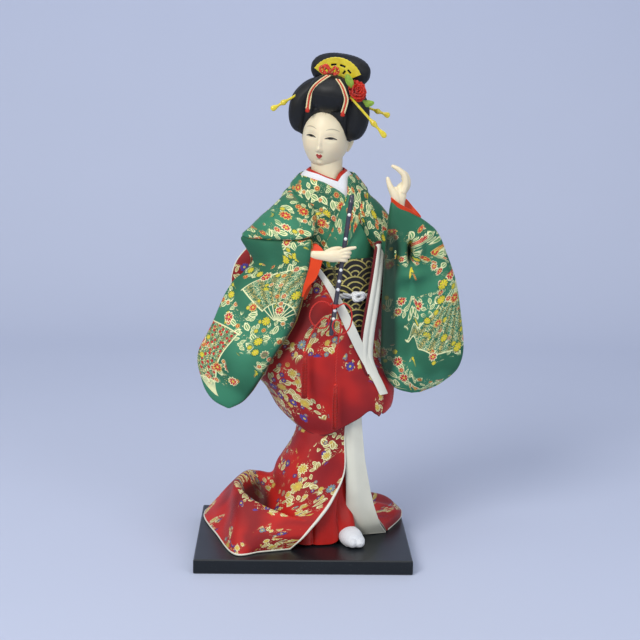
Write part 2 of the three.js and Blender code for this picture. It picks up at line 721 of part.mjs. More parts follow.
function makeFlute() {
  const rod = limb([fluteBottom, fluteTop], [fluteRadius, fluteRadius], { steps: 1, sides: 10 });
  const studs = studPlaces.map((share) => {
    const centre = alongFlute(share);
    return egg([centre.x, centre.y - fluteRadius, centre.z], [studRadius, studRadius, studRadius], 0, 1, 6, 4);
  });
  return join(rod, ...studs);
}

const fluteSpan = (grow) => limb(
  [alongFlute(0.9).toArray(), alongFlute(0).toArray()],
  [fluteRadius, fluteRadius],
  { steps: 1, sides: 10, grow },
);

function joined(limbs, grow) {
  return join(...limbs.map(([points, radii, options]) => limb(points, radii, { sides: 6, steps: 1, ...options, grow })));
}

const handRightLimbs = [
  [[[9.5, -46, 261.4], [15, -46.6, 261.4], [22, -47.6, 261.6], [27.5, -48.6, 261.2]], [4, 4.8, 5.8, 5.2], { flat: 0.6 }],
  [[[27, -48.8, 264.5], [33, -49.4, 266.2], [41, -48.8, 268.6]], [2.2, 2, 1.4], {}],
  [[[27.5, -49, 262], [33, -49.4, 262.4], [36.4, -47, 261.6], [35.6, -43.8, 261]], [2.2, 2.1, 1.9, 1.5], {}],
  [[[27.5, -48.8, 259.2], [32.6, -49.2, 259], [35.6, -46.8, 258.4], [34.8, -43.6, 258]], [2.1, 2, 1.8, 1.4], {}],
  [[[26, -48, 257], [30.6, -48.6, 256.4], [33.4, -46.4, 256], [32.6, -43.6, 255.8]], [2, 1.8, 1.6, 1.3], {}],
  [[[17, -46.4, 264.6], [22, -44.4, 266.4], [27, -43.8, 266.8]], [2.6, 2.2, 1.6], {}],
];
const handLeftLimbs = [
  [[[80.5, -28.2, 301.5], [80.2, -28, 306], [79.6, -28, 313], [79.4, -28, 319]], [3.6, 3.8, 5.4, 5], { flat: 0.6 }],
  [[[76, -28.2, 319], [72.6, -29, 327], [70, -30.4, 335]], [2, 1.8, 1.3], {}],
  [[[78.2, -28, 320.5], [76, -29, 329.5], [73.6, -30.6, 338]], [2.1, 1.9, 1.3], {}],
  [[[80.8, -28, 320.5], [80.2, -29, 329], [79, -30.4, 336.5]], [2, 1.8, 1.3], {}],
  [[[83, -28, 318.5], [84, -28.6, 325], [84.4, -29.6, 331]], [1.9, 1.6, 1.2], {}],
  [[[76.6, -28.4, 309], [71.5, -29, 315.5], [67.5, -30, 323.5]], [2.5, 2.1, 1.4], {}],
];

piece('flute', geometryOf(makeFlute()), paints.flute);
const fluteCutter = solidOf(fluteSpan(gap));
piece('hand_right', geometryOf(carve(joined(handRightLimbs, 0), fluteCutter)), paints.skin);
piece('hand_left', geometryOf(joined(handLeftLimbs, 0)), paints.skin);
const handCutters = [joined(handRightLimbs, gap), joined(handLeftLimbs, gap)];

piece('arm_right', geometryOf(carve(armRight(0), chestRoom, handCutters[0])), paints.batting);
piece('arm_left', geometryOf(carve(armLeft(0), chestRoom, handCutters[1])), paints.batting);

// Sleeves: an upper and a lower tube joined to a deep bag that hangs between two rails

function bag(leftRail, rightRail, deep, grow = 0, around = 12) {
  const rows = leftRail.map((_, j) => {
    const left = point(leftRail[j]);
    const right = point(rightRail[j]);
    const across = right.clone().sub(left);
    const half = across.length() / 2 + grow;
    const middle = left.clone().add(right).multiplyScalar(0.5);
    across.normalize();
    const outward = new THREE.Vector3(across.y, -across.x, 0).normalize();
    return Array.from({ length: around }, (_, k) => {
      const angle = (k / around) * Math.PI * 2;
      const reach = Math.sign(Math.cos(angle)) * Math.abs(Math.cos(angle)) ** 0.7;
      const depth = Math.sin(angle) * (deep[j] / 2 + grow);
      return middle.clone().addScaledVector(across, reach * half).addScaledVector(outward, depth);
    });
  });
  const grid = rows[0].map((_, k) => refine(rows.map((row) => row[k]), 2));
  const rings = grid[0].map((_, j) => grid.map((column) => column[j]));
  if (grow) {
    rings[0].forEach((p) => { p.z += grow; });
    rings[rings.length - 1].forEach((p) => { p.z -= grow; });
  }
  return loft(rings);
}

const rightBagLeft = [[-53, -13, 271], [-56, -12, 252], [-64, -11, 232], [-79, -13, 201], [-94, -18, 172], [-86, -24, 146], [-74, -29, 126]];
const rightBagRight = [[3, -44, 272], [2, -46, 254], [1, -47, 232], [-3, -46, 204], [-19, -42, 176], [-38, -38, 151], [-60, -33, 125]];
const rightBagDeep = [13, 18, 15, 14, 13, 11, 7];
const leftBagLeft = [[70, -30, 304], [71.5, -27, 286], [73, -24, 262], [73.4, -21, 228], [73, -19, 192], [75, -17, 160], [88, -13, 140]];
const leftBagRight = [[104, -21, 288], [113, -17, 272], [120, -13, 252], [130, -10, 226], [139, -8, 186], [136, -8, 158], [112, -10, 137]];
const leftBagDeep = [10, 17, 21, 20, 18, 16, 9];

function sleeve(parts, grow) {
  return join(...parts.map((part) => part(grow)));
}

const rightSleeveParts = [
  (grow) => limb([[4, 3, 299], [-22, -4, 287], [-40, -12, 264]], [20, 20, 14], { steps: 2, grow, up: [0, 0, 1], sides: 12 }),
  (grow) => bag(rightBagLeft, rightBagRight, rightBagDeep, grow),
];
const leftSleeveParts = [
  leftSleeveTube,
  (grow) => bag(leftBagLeft, leftBagRight, leftBagDeep, grow),
];

const rightLining = (grow) => bag(
  [[3.6, -44, 271], [2.8, -46, 254], [1.6, -47, 232], [-2.6, -46, 206]],
  [[11, -45, 270], [10, -46.6, 252], [5, -47.2, 232], [-0.8, -46, 208]],
  [13, 16, 8, 4],
  grow,
  10,
);
const leftLining = (grow) => bag(
  [[71.6, -29.8, 307.5], [72, -29.6, 299]],
  [[101, -22, 293], [103.5, -21.4, 284]],
  [8, 6.4],
  grow,
  10,
);

const rightArmRoom = armRight(gap);
const leftArmRoom = armLeft(gap);
const rightLiningRoom = solidOf(rightLining(gap));
const leftLiningRoom = solidOf(leftLining(gap));

piece('cuff_lining_right', geometryOf(carve(solidOf(rightLining(0)), rightArmRoom, handCutters[0])), paints.scarlet);
piece('cuff_lining_left', geometryOf(carve(solidOf(leftLining(0)), leftArmRoom, handCutters[1])), paints.scarlet);
piece('sleeve_right', geometryOf(carve(
  sleeve(rightSleeveParts, 0), chestRoom, obiRoom, rightArmRoom, rightLiningRoom, handCutters[0],
)), paints.green);
piece('sleeve_left', geometryOf(carve(
  sleeve(leftSleeveParts, 0), chestRoom, obiRoom, leftArmRoom, leftLiningRoom, handCutters[1],
)), paints.green);

// A fold of the outer robe that shows behind the right sleeve

const foldRows = [
  [[-40, 2, 262], [-48, 6, 263], [-55, 10, 258]],
  [[-36, 4, 248], [-52, 9, 247], [-64, 12, 244]],
  [[-36, 2, 232], [-52, 8, 230], [-64, 10, 226]],
  [[-34, 0, 214], [-48, 5, 210], [-58, 6, 206]],
].map((row) => row.map(point));
const foldGrid = refineGrid(foldRows, 3, 2);
piece('outer_robe_fold', geometryOf(carve(
  solidOf(sheet(foldGrid, robeThickness * 2)), robeCutter, ...rightSleeveParts.map((part) => solidOf(part(gap))),
)), paints.red);

// Head and neck

const headTurn = new THREE.Group();
headTurn.position.set(neck.x, neck.y, bodyTop);
figure.add(headTurn);
const headTilt = new THREE.Group();
headTilt.position.set(headCentre.x - neck.x, headCentre.y - neck.y, headCentre.z - bodyTop);
headTilt.rotation.set(rad(headBow), rad(headRoll), rad(headYaw), 'YZX');
headTurn.add(headTilt);
headTilt.updateMatrix();

const bump = (x, z, place, wide, high) => Math.exp(-(((x - place[0]) / wide) ** 2) - ((z - place[1]) / high) ** 2);

function facePoint(d, grow = 0) {
  const low = Math.max(0, -d.z);
  const x = d.x * headHalfWidth * (1 - 0.34 * low ** 2);
  const z = d.z * headHalfHeight;
  let y = d.y * headHalfDepth * (d.y > 0 ? 1 - 0.5 * low ** 1.3 : 1 - 0.12 * low ** 2);
  if (d.y < 0) {
    const forward = Math.min(1, -d.y * 1.6);
    y -= forward * 3.4 * bump(x, z, [0, -12], 2.2, 3) + forward * 1.8 * bump(x, z, [0, -6], 1.8, 7);
    y -= forward * 1.3 * bump(x, z, [0, -18.5], 3.4, 2) + forward * 1.4 * bump(x, z, [0, -25], 4.5, 3);
    y += forward * 1.2 * (bump(x, z, [-8.6, -2], 4.4, 2.6) + bump(x, z, [8.6, -2], 4.4, 2.6));
  }
  const place = new THREE.Vector3(x, y, z);
  return place.setLength(place.length() + grow);
}

const skull = (grow, around = 22, up = 15) => ball((d) => facePoint(d, grow), around, up);
const neckIn = (grow) => limb(
  [[0, 0, gap + neckRadius * 0.9], [0, 0, 24], [-0.5, -3, 34]],
  [neckRadius, neckTopRadius, neckTopRadius - 1],
  { steps: 1, sides: 16, grow },
);
const flatUnder = solidOf(new THREE.BoxGeometry(80, 80, 40).translate(0, 0, gap - 20));
const pegSocket = solidOf(upright(0, 0, -pegDepth, pegTop - bodyTop, pegRadius + boreGap));
const headSolid = carve(join(skull(0).applyMatrix4(headTilt.matrix), neckIn(0)), flatUnder, pegSocket);
piece('head', geometryOf(headSolid), paints.skin, headTurn);
piece('neck_peg', upright(0, 0, boreGap - pegDepth, pegTop - bodyTop - boreGap, pegRadius), paints.wood, headTurn);

// Comb: a pierced fan on a tongue that stands in the hair

function combGeometry(grow = 0, reach = 0) {
  const shape = new THREE.Shape();
  const outer = combRadius + grow + reach;
  const inner = combInnerRadius - grow;
  const half = rad(combAngle) + grow / combRadius;
  const tongue = combTongueWidth / 2 + grow;
  shape.absarc(0, 0, outer, Math.PI / 2 - half, Math.PI / 2 + half, false);
  shape.lineTo(-tongue, inner * Math.cos(half));
  shape.lineTo(-tongue, -combTongueDepth - grow);
  shape.lineTo(tongue, -combTongueDepth - grow);
  shape.lineTo(tongue, inner * Math.cos(half));
  if (!grow) {
    for (const turn of [-38, -13, 13, 38]) {
      const slot = new THREE.Path();
      slot.absellipse(
        Math.sin(rad(turn)) * combRadius * 0.72,
        Math.cos(rad(turn)) * combRadius * 0.72,
        3.1, 1.1, 0, Math.PI * 2, false, -rad(turn),
      );
      shape.holes.push(slot);
    }
  }
  const thickness = combThickness + 2 * grow;
  const plate = new THREE.ExtrudeGeometry(shape, { depth: thickness, bevelEnabled: false, curveSegments: 5 });
  plate.translate(0, 0, -thickness / 2);
  plate.rotateX(Math.PI / 2);
  return plate.translate(0, combCentre.y, combCentre.z);
}

piece('comb', indexed(combGeometry()), paints.yellow, headTilt);
const combRoom = solidOf(combGeometry(gap));

// Hairpins: a round shaft with a waisted bulge and a small paddle at the tip

function pinGeometry({ inner, tip }, grow = 0) {
  const length = point(inner).distanceTo(point(tip));
  const radii = [[0, 0.8], [0.05, 1], [0.62, 1], [0.7, pinBulgeRadius / pinRadius], [0.76, pinBulgeRadius / pinRadius], [0.84, 1], [0.93, 1.7], [0.99, 1.3]];
  const profile = [
    new THREE.Vector2(0, -grow),
    ...radii.map(([share, size]) => new THREE.Vector2(pinRadius * size + grow, length * share)),
    new THREE.Vector2(0, length + grow),
  ];
  const pin = new THREE.LatheGeometry(profile, 7);
  const turn = new THREE.Quaternion().setFromUnitVectors(
    new THREE.Vector3(0, 1, 0),
    point(tip).sub(point(inner)).normalize(),
  );
  return indexed(pin.applyQuaternion(turn).translate(...inner));
}

const pinRooms = Object.entries(pins).map(([name, ends]) => {
  piece(name, pinGeometry(ends), paints.yellow, headTilt);
  return solidOf(pinGeometry(ends, gap));
});

// Flower on a wire stem, with two leaves behind it

const flowerDirection = point(flowerAxis).normalize();
const stemEnd = point(flowerCentre).addScaledVector(flowerDirection, -flowerStem);
const flowerTurn = new THREE.Quaternion().setFromUnitVectors(new THREE.Vector3(0, 0, 1), flowerDirection);

const flowerHead = (grow = 0) => ball((d) => {
  const petals = 1 + 0.1 * Math.cos(5 * Math.atan2(d.y, d.x));
  const size = flowerRadius + grow;
  return new THREE.Vector3(d.x * size * petals, d.y * size * petals, d.z * size * 0.55)
    .applyQuaternion(flowerTurn).add(point(flowerCentre));
}, 16, 7);
const flowerWire = (grow = 0) => limb([stemEnd.toArray(), flowerCentre], [0.9, 0.9], { steps: 1, sides: 8, grow });

piece('hair_flower', geometryOf(join(flowerHead(), flowerWire())), paints.scarlet, headTilt);

// Room for the flower, also while its wire is pulled out of the hair
const flowerRoomAtRest = solidOf(flowerHead(gap));
const flowerRoomPulled = flowerRoomAtRest.translate(flowerDirection.clone().multiplyScalar(flowerPull).toArray());
const flowerRoom = wasm.Manifold.hull([flowerRoomAtRest, flowerRoomPulled]).add(solidOf(flowerWire(gap)));
const leaves = {
  flower_leaf_upper: [[20.6, -13, 42.4], [16.4, -14.5, 47.4], [13, -14.5, 52.5]],
  flower_leaf_lower: [[30, -9, 31], [34, -8, 30.5], [38.5, -6.5, 31]],
};
const leafRooms = Object.entries(leaves).map(([name, path]) => {
  const leaf = (grow) => limb(path, [1, 3.4, 0.8], { steps: 2, sides: 8, flat: 0.3, grow });
  piece(name, geometryOf(carve(solidOf(leaf(0)), flowerRoomAtRest)), paints.leaf, headTilt);
  return solidOf(leaf(gap));
});

// Hair: cap, forelock, side wings, back roll and bun, each cut by what it lies against

const faceTube = loft([-60, -9, -4].map((y, j) => Array.from({ length: 20 }, (_, k) => {
  const angle = (k / 20) * Math.PI * 2;
  const wide = [19.5, 19.5, 17][j];
  const high = [25.5, 25.5, 23][j];
  return new THREE.Vector3(Math.cos(angle) * wide, y, -3 + Math.sin(angle) * high);
})));
const face = solidOf(faceTube);
const toTilt = headTilt.matrix.clone().invert();
const inTilt = (geometry) => geometry.applyMatrix4(toTilt);
const headRooms = [solidOf(skull(gap + 0.7, 16, 11)), solidOf(inTilt(neckIn(gap + 0.4)))];
const trims = [combRoom, ...pinRooms, flowerRoom, ...leafRooms];
const shoulderRoom = solidOf(inTilt(new THREE.BoxGeometry(120, 120, 40).translate(0, 0, -8)));

function wing(side, grow = 0) {
  const path = [[20, -2, 2], [24, -2, 9], [23.5, -2, 24], [12, -1, 38]].map(([x, y, z]) => [side * x, y, z]);
  return limb(path, [7, 10, 11, 9], { steps: 2, sides: 9, grow, up: [0, 1, 0] }).translate(0, 2, 0).scale(1, 1.32, 1).translate(0, -2, 0);
}

const hairForms = {
  hair_cap: (grow) => egg([0, 4, 12], [25, 26.5, 30], grow, 1, 16, 9),
  hair_forelock: (grow) => egg([0, -12, 34], [15.5, 13.5, 14], grow, 0.95, 14, 8),
  hair_wing_right: (grow) => wing(-1, grow),
  hair_wing_left: (grow) => wing(1, grow),
  hair_back_roll: (grow) => egg([0, 21, 2], [17, 13, 16], grow, 0.95, 12, 8),
  hair_bun: (grow) => egg([1.5, 9.5, 53.5], [26, 15, 14.5], grow, 0.86, 16, 9),
};
const settled = [];
for (const [name, form] of Object.entries(hairForms)) {
  const rest = carve(solidOf(form(0)), ...headRooms, face, shoulderRoom, ...trims, ...settled);
  piece(name, geometryOf(rest), paints.hair, headTilt);
  settled.push(solidOf(form(gap)));
}

// Paper cord tied over the forelock, with two strands hanging at each side

const strands = {
  paper_cord_right: [[-3.4, -17.2, 47.6], [-7.4, -20, 44.2], [-13, -21, 38.5], [-16.8, -22, 31], [-16.4, -23.6, 16]],
  paper_cord_left: [[2.6, -17.2, 47.6], [7.4, -20, 44.2], [12.6, -20.6, 39.5], [16.6, -21.4, 32], [16, -23.6, 18]],
};
const hairNow = Object.entries(hairForms).map(([, form]) => solidOf(form(gap)));
for (const [name, path] of Object.entries(strands)) {
  const pair = join(
    limb(path, path.map(() => strandRadius), { steps: 1, sides: 5 }),
    limb(path.map(([x, y, z]) => [x + 1.3, y, z]), path.map(() => strandRadius), { steps: 1, sides: 5 }),
  );
  piece(name, geometryOf(carve(pair, ...hairNow, ...trims, ...headRooms)), paints.scarlet, headTilt);
}
const bowSolid = join(
  limb([[0, -14.5, 50], [-6, -15, 54], [-9, -15, 50.5], [-2, -14.5, 49]], [1.2, 1.2, 1.2, 1.2], { steps: 1, sides: 5 }),
  limb([[0, -14.5, 50], [6, -15, 54], [9, -15, 50.5], [2, -14.5, 49]], [1.2, 1.2, 1.2, 1.2], { steps: 1, sides: 5 }),
  egg([0, -14.8, 50], [2.4, 2.2, 2.4], 0, 1, 8, 5),
);
piece('paper_cord_bow', geometryOf(carve(bowSolid, ...hairNow, ...trims)), paints.scarlet, headTilt);

// Flute cord: a turn tied round the flute, its knot, and on each side a loop, a hanging end and a tassel

const tieShare = 0.785;
const tieHeight = 3;
const tie = alongFlute(tieShare);
const fluteTurn = new THREE.Quaternion().setFromUnitVectors(new THREE.Vector3(0, 1, 0), fluteAxis);
const sleeveRound = (radius, height) => new THREE.CylinderGeometry(radius, radius, height, 12)
  .applyQuaternion(fluteTurn).translate(tie.x, tie.y, tie.z);
const tieSolid = carve(
  solidOf(sleeveRound(fluteRadius + gap + 1.2, tieHeight)),
  solidOf(sleeveRound(fluteRadius + gap, 3 * tieHeight)),
);
piece('flute_cord_tie', geometryOf(tieSolid), paints.cord);

const knotRadius = 1.9;
const knotPlace = [tie.x - 1, tie.y - fluteRadius - gap - 1.2 - knotRadius - gap, tie.z - 0.5];
piece('flute_cord_knot', egg(knotPlace, [2.3, knotRadius, 2], 0, 1, 8, 6), paints.cord);

const cordRoutes = {
  flute_cord_left: [
    [-2.9, 0, 0.8], [-7, 0, 4], [-13, 0, 4.5], [-19, 0, -0.5], [-21, 0, -8.5], [-17, 0, -15.5],
    [-10, 0, -15], [-5.6, -0.6, -9.5], [-5, -1.8, -5.6], [-7, -2.6, -8.4], [-12, -2.4, -16.5], [-19, -1.4, -24],
    [-23.6, -0.4, -32], [-24.6, 0, -38],
  ],
  flute_cord_right: [
    [2.9, 0, 0.8], [8, 0, 3.5], [13, 0, -1], [15, 0, -9], [13, 0, -18.5], [7.5, 0, -25],
    [2, 0, -23], [0.2, -0.6, -14], [1.6, -1.8, -7], [3.4, -2.6, -6.2], [3.6, -2.8, -11], [2.4, -2.6, -22],
    [2, -1.6, -42], [2.2, 0, -66],
  ],
};

function cordTube(route) {
  const curve = new THREE.CatmullRomCurve3(route.map(point), false, 'centripetal');
  const section = new THREE.Shape();
  section.absarc(0, 0, cordRadius, 0, Math.PI * 2, false);
  const tube = new THREE.ExtrudeGeometry(section, { extrudePath: curve, steps: 30, curveSegments: 3, bevelEnabled: false });
  return indexed(tube.translate(...knotPlace));
}

function tasselGeometry(top) {
  const profile = [
    [0, 0], [1.3, -0.2], [1.9, -1.6], [1.3, -3.2], [1.9, -4.4], [2.3, -tasselLength * 0.4],
    [tasselRadius, -tasselLength], [0, -tasselLength],
  ].map(([radius, height]) => new THREE.Vector2(radius, height));
  const tassel = new THREE.LatheGeometry(profile.reverse(), 10);
  return indexed(tassel.rotateX(Math.PI / 2).translate(...top));
}

const tassels = { flute_cord_left: 'tassel_left', flute_cord_right: 'tassel_right' };
for (const [name, route] of Object.entries(cordRoutes)) {
  piece(name, cordTube(route), paints.cord);
  const end = point(route[route.length - 1]).add(point(knotPlace));
  piece(tassels[name], tasselGeometry([end.x, end.y, end.z - gap]), paints.cord);
}

export default doll;
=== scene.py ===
"""A standing costume doll on a lacquered board: brocade kimono, outer robe with a train, dressed hair, flute.

The figure is worked out in millimetres from the board's top, as the CAD part is, and each mesh is turned into
metres where it is made. +Z is up and the doll faces -Y.
"""

import math

import bpy
import numpy as np
from mathutils import Matrix, Vector


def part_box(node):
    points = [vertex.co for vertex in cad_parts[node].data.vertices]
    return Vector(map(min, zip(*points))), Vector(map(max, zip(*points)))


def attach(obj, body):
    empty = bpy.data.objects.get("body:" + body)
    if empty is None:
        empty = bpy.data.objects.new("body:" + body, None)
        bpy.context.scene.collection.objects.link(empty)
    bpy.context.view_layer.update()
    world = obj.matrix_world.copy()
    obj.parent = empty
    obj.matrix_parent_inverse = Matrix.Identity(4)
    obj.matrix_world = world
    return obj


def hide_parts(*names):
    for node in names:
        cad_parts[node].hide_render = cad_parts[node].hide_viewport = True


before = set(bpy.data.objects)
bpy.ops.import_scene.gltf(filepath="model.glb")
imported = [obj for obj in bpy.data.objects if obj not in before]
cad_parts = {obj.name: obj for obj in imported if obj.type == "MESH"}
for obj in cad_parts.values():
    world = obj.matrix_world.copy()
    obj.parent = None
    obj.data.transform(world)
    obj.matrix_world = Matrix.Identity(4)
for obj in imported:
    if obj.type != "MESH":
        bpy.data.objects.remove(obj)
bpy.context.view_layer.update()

# Sizes shared with the part, in millimetres
MM = 0.001
BOARD_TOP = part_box("base_board")[1].z / MM
SKIRT_TOP = 118
BODY_TOP = 321
OBI_BOTTOM, OBI_TOP, OBI_CORD_HEIGHT = 186, 249, 221
KIMONO_OUT, LAPEL_OUT, OBI_FACE = 2.5, 4.45, 6.75
HEAD_CENTRE = (16.0, -1.0, 363.0)
HEAD_BOW, HEAD_ROLL, HEAD_YAW = 5.0, 7.3, -15.0
FLUTE_TOP, FLUTE_BOTTOM, FLUTE_RADIUS = (36.9, -41.0, 313.0), (21.1, -47.0, 193.0), 2.0


# Curves and grids

FULL_TURN = 2 * math.pi


def smooth_rows(rows, steps):
    """Points on a smooth curve through each column of rows, with the ends repeated for their tangents."""
    p = np.asarray(rows, float)
    last = len(p) - 1
    t = np.linspace(0, last, last * steps + 1)
    i = np.minimum(t.astype(int), last - 1)
    f = (t - i).reshape(-1, *[1] * (p.ndim - 1))
    a, b, c, d = (p[np.clip(i + k, 0, last)] for k in (-1, 0, 1, 2))
    return 0.5 * (2 * b + (c - a) * f + (2 * a - 5 * b + 4 * c - d) * f**2 + (3 * b - 3 * c + d - a) * f**3)


def smooth_list(values, steps):
    """The same curve through plain numbers."""
    return smooth_rows(np.array(values, float)[:, None], steps)[:, 0]


def smooth_grid(rows, down, across):
    return smooth_rows(smooth_rows(rows, down).swapaxes(0, 1), across).swapaxes(0, 1)


def evenly(points, count):
    """The same curve with its points equally far apart."""
    p = np.asarray(points, float)
    along = np.r_[0, np.cumsum(np.linalg.norm(np.diff(p, axis=0), axis=1))]
    want = np.linspace(0, along[-1], count)
    return np.stack([np.interp(want, along, p[:, k]) for k in range(p.shape[1])], 1)


def unit(v):
    return v / np.maximum(np.linalg.norm(v, axis=-1, keepdims=True), 1e-9)


def bump01(x):
    """A smooth hill: 1 at 0, 0 from -1 and 1 outward."""
    x = np.clip(np.abs(x), 0, 1)
    return 1 - x * x * (3 - 2 * x)


def ramp(x, low, high):
    t = np.clip((np.asarray(x, float) - low) / (high - low), 0, 1)
    return t * t * (3 - 2 * t)


def cloud(points, size, seed):
    """Smooth noise from -1 to 1 at points, with hills about size wide."""
    p = np.asarray(points, float) / size + seed * 17.31
    cell = np.floor(p).astype(np.int64)
    f = p - cell
    f = f * f * (3 - 2 * f)
    total = 0
    for corner in np.ndindex(2, 2, 2):
        x, y, z = (cell[..., k] + corner[k] for k in range(3))
        h = (x * 374761393 + y * 668265263 + z * 2246822519 + seed * 3266489917) & 0xFFFFFFFF
        h = ((h ^ (h >> 13)) * 1274126177) & 0xFFFFFFFF
        value = ((h ^ (h >> 16)) & 0xFFFF) / 32767.5 - 1
        weight = 1
        for k in range(3):
            weight = weight * (f[..., k] if corner[k] else 1 - f[..., k])
        total = total + value * weight
    return total


def grid_normals(grid, ring=False):
    down = np.gradient(grid, axis=0)
    if ring:
        wide = np.concatenate([grid[:, -2:-1], grid, grid[:, 1:2]], axis=1)
        across = np.gradient(wide, axis=1)[:, 1:-1]
    else:
        across = np.gradient(grid, axis=1)
    return unit(np.cross(down, across))


def grid_uv(grid):
    """Arc lengths across and down a grid, in hundreds of millimetres, so that a print keeps its size."""
    step_across = np.linalg.norm(np.diff(grid, axis=1), axis=2)
    step_down = np.linalg.norm(np.diff(grid, axis=0), axis=2)
    u = np.concatenate([np.zeros((len(grid), 1)), np.cumsum(step_across, 1)], 1)
    u -= u[:, [grid.shape[1] // 2]]
    v = np.concatenate([np.zeros((1, grid.shape[1])), np.cumsum(step_down, 0)], 0)
    return np.stack([u, -v], -1) / 100


def pushed(grid, height, ring=False):
    """The grid moved along its own normals."""
    return grid + grid_normals(grid, ring) * np.asarray(height)[..., None]


# Meshes

def to_metres(points, space=None):
    p = np.asarray(points, float).reshape(-1, 3)
    if space is not None:
        p = p @ np.array(space.to_3x3()).T + np.array(space.translation)
    return (p + (0, 0, BOARD_TOP)) * MM


def mesh_piece(name, body, points, faces, materials, uv=None, slots=None, sharp=(), space=None):
    """A mesh from points in millimetres, riding on a body. uv has a row for each point or corner."""
    mesh = bpy.data.meshes.new(name)
    mesh.from_pydata(to_metres(points, space).tolist(), [], [list(map(int, f)) for f in faces])
    for paint in materials if isinstance(materials, (list, tuple)) else [materials]:
        mesh.materials.append(paint)
    if slots is not None:
        mesh.polygons.foreach_set("material_index", np.asarray(slots, np.int32))
    if uv is not None:
        layer = mesh.uv_layers.new(name="cloth")
        uv = np.asarray(uv, np.float32)
        if len(uv) == len(mesh.vertices):
            corner = np.empty(len(mesh.loops), np.int32)
            mesh.loops.foreach_get("vertex_index", corner)
            uv = uv[corner]
        layer.data.foreach_set("uv", uv.ravel())
    mesh.polygons.foreach_set("use_smooth", np.full(len(mesh.polygons), True))
    if len(sharp):
        keys = {tuple(sorted(map(int, e))) for e in sharp}
        flags = [tuple(sorted(e.vertices)) in keys for e in mesh.edges]
        mesh.attributes.new("sharp_edge", "BOOLEAN", "EDGE").data.foreach_set("value", flags)
    mesh.update()
    piece = bpy.data.objects.new(name, mesh)
    bpy.context.scene.collection.objects.link(piece)
    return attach(piece, body)


def cloth(name, grid, thickness, front, back=None, edge=None, ring=False, uv=None, marks=()):
    """A closed sheet of cloth about a grid, its front on the side that the grid's normals point to.

    marks are pairs of a name and a value for each grid point, which the cloth's material reads.
    """
    rows, columns = grid.shape[:2]
    normals = grid_normals(grid, ring) * thickness / 2
    points = np.concatenate([(grid + normals).reshape(-1, 3), (grid - normals).reshape(-1, 3)])
    flat = grid_uv(grid) if uv is None else uv
    flat = np.concatenate([flat.reshape(-1, 2)] * 2)
    i, j = np.mgrid[0:rows - 1, 0:columns - 1]
    a = (i * columns + j).ravel()
    quads = np.stack([a, a + columns, a + columns + 1, a + 1], 1)
    shift = rows * columns
    faces = [quads, quads[:, ::-1] + shift]
    slots = [np.zeros(len(quads)), np.ones(len(quads))]
    top = np.arange(columns)
    left = np.arange(rows) * columns
    rims = [top[::-1], top + (rows - 1) * columns]
    if not ring:
        rims += [left, left[::-1] + columns - 1]
    sharp = []
    for rim in rims:
        s, e = rim[:-1], rim[1:]
        faces.append(np.stack([s, e, e + shift, s + shift], 1)[:, ::-1])
        slots.append(np.full(len(s), 2))
        sharp += [np.stack([s, e], 1), np.stack([s, e], 1) + shift]
    faces, slots, sharp = np.concatenate(faces), np.concatenate(slots), np.concatenate(sharp)
    if ring:
        weld = np.arange(2 * shift)
        for k in (0, shift):
            weld[left + columns - 1 + k] = left + k
        faces = weld[faces]
        sharp = weld[sharp]
        kept = [len(set(f)) == 4 for f in faces]
        faces, slots = faces[kept], slots[kept]
    paints = [front, back or front, edge or back or front]
    piece = mesh_piece(name, "figure", points, faces, paints, flat, slots, sharp)
    for label, value in dict(marks).items():
        both_sides = np.tile(np.broadcast_to(value, (rows, columns)).ravel(), 2).astype(np.float32)
        piece.data.attributes.new(label, "FLOAT", "POINT").data.foreach_set("value", both_sides)
    return piece


def tube_grid(path, radii, sides, flat=1.0, up=(0, 0, 1)):
    """Rings along a path: radius for each point, squeezed by flat along the direction nearest to up."""
    path = np.asarray(path, float)
    radii = np.broadcast_to(np.asarray(radii, float), (len(path),))
    ahead = unit(np.gradient(path, axis=0))
    side = np.cross(ahead[0], np.asarray(up, float))
    if np.linalg.norm(side) < 1e-3:
        side = np.cross(ahead[0], (0.0, 1.0, 0.0))
    side = unit(side)
    angles = np.linspace(0, FULL_TURN, sides, endpoint=False)
    rings = []
    for point, way, radius in zip(path, ahead, radii):
        side = unit(side - way * np.dot(side, way))
        rise = np.cross(side, way)
        circle = np.outer(np.cos(angles), side) + flat * np.outer(np.sin(angles), rise)
        rings.append(point + radius * circle)
    return np.array(rings)


def closed_tube(rings):
    """Points, faces and corner coordinates of closed rings: share round the tube, and length along it."""
    count, sides = rings.shape[:2]
    points = np.concatenate([rings.reshape(-1, 3), rings[:1].mean(1), rings[-1:].mean(1)])
    i, j = (k.ravel() for k in np.mgrid[0:count - 1, 0:sides])
    a, b = i * sides + j, i * sides + (j + 1) % sides
    faces = [list(f) for f in np.stack([a, a + sides, b + sides, b], 1)]
    along = np.r_[0, np.cumsum(np.linalg.norm(np.diff(rings.mean(1), axis=0), axis=1))] / 100
    share = np.stack([j, j, j + 1, j + 1], 1) / sides
    uv = np.stack([share, along[np.stack([i, i + 1, i + 1, i], 1)]], -1).reshape(-1, 2)
    last = (count - 1) * sides
    first_fan = [[count * sides, k, (k + 1) % sides] for k in range(sides)]
    last_fan = [[count * sides + 1, last + (k + 1) % sides, last + k] for k in range(sides)]
    fan_uv = [(share, place) for place, turn in ((along[0], 1), (along[-1], -1)) for k in range(sides)
              for share in ((k + 0.5) / sides, (k + (turn < 0)) / sides, (k + (turn > 0)) / sides)]
    return points, faces + first_fan + last_fan, np.concatenate([uv, fan_uv])


def ringed(name, rings, paint, body="figure", space=None):
    """A closed piece made of rings that run against the clock seen from the first one's end."""
    points, faces, uv = closed_tube(rings)
    return mesh_piece(name, body, points, faces, paint, uv, space=space)


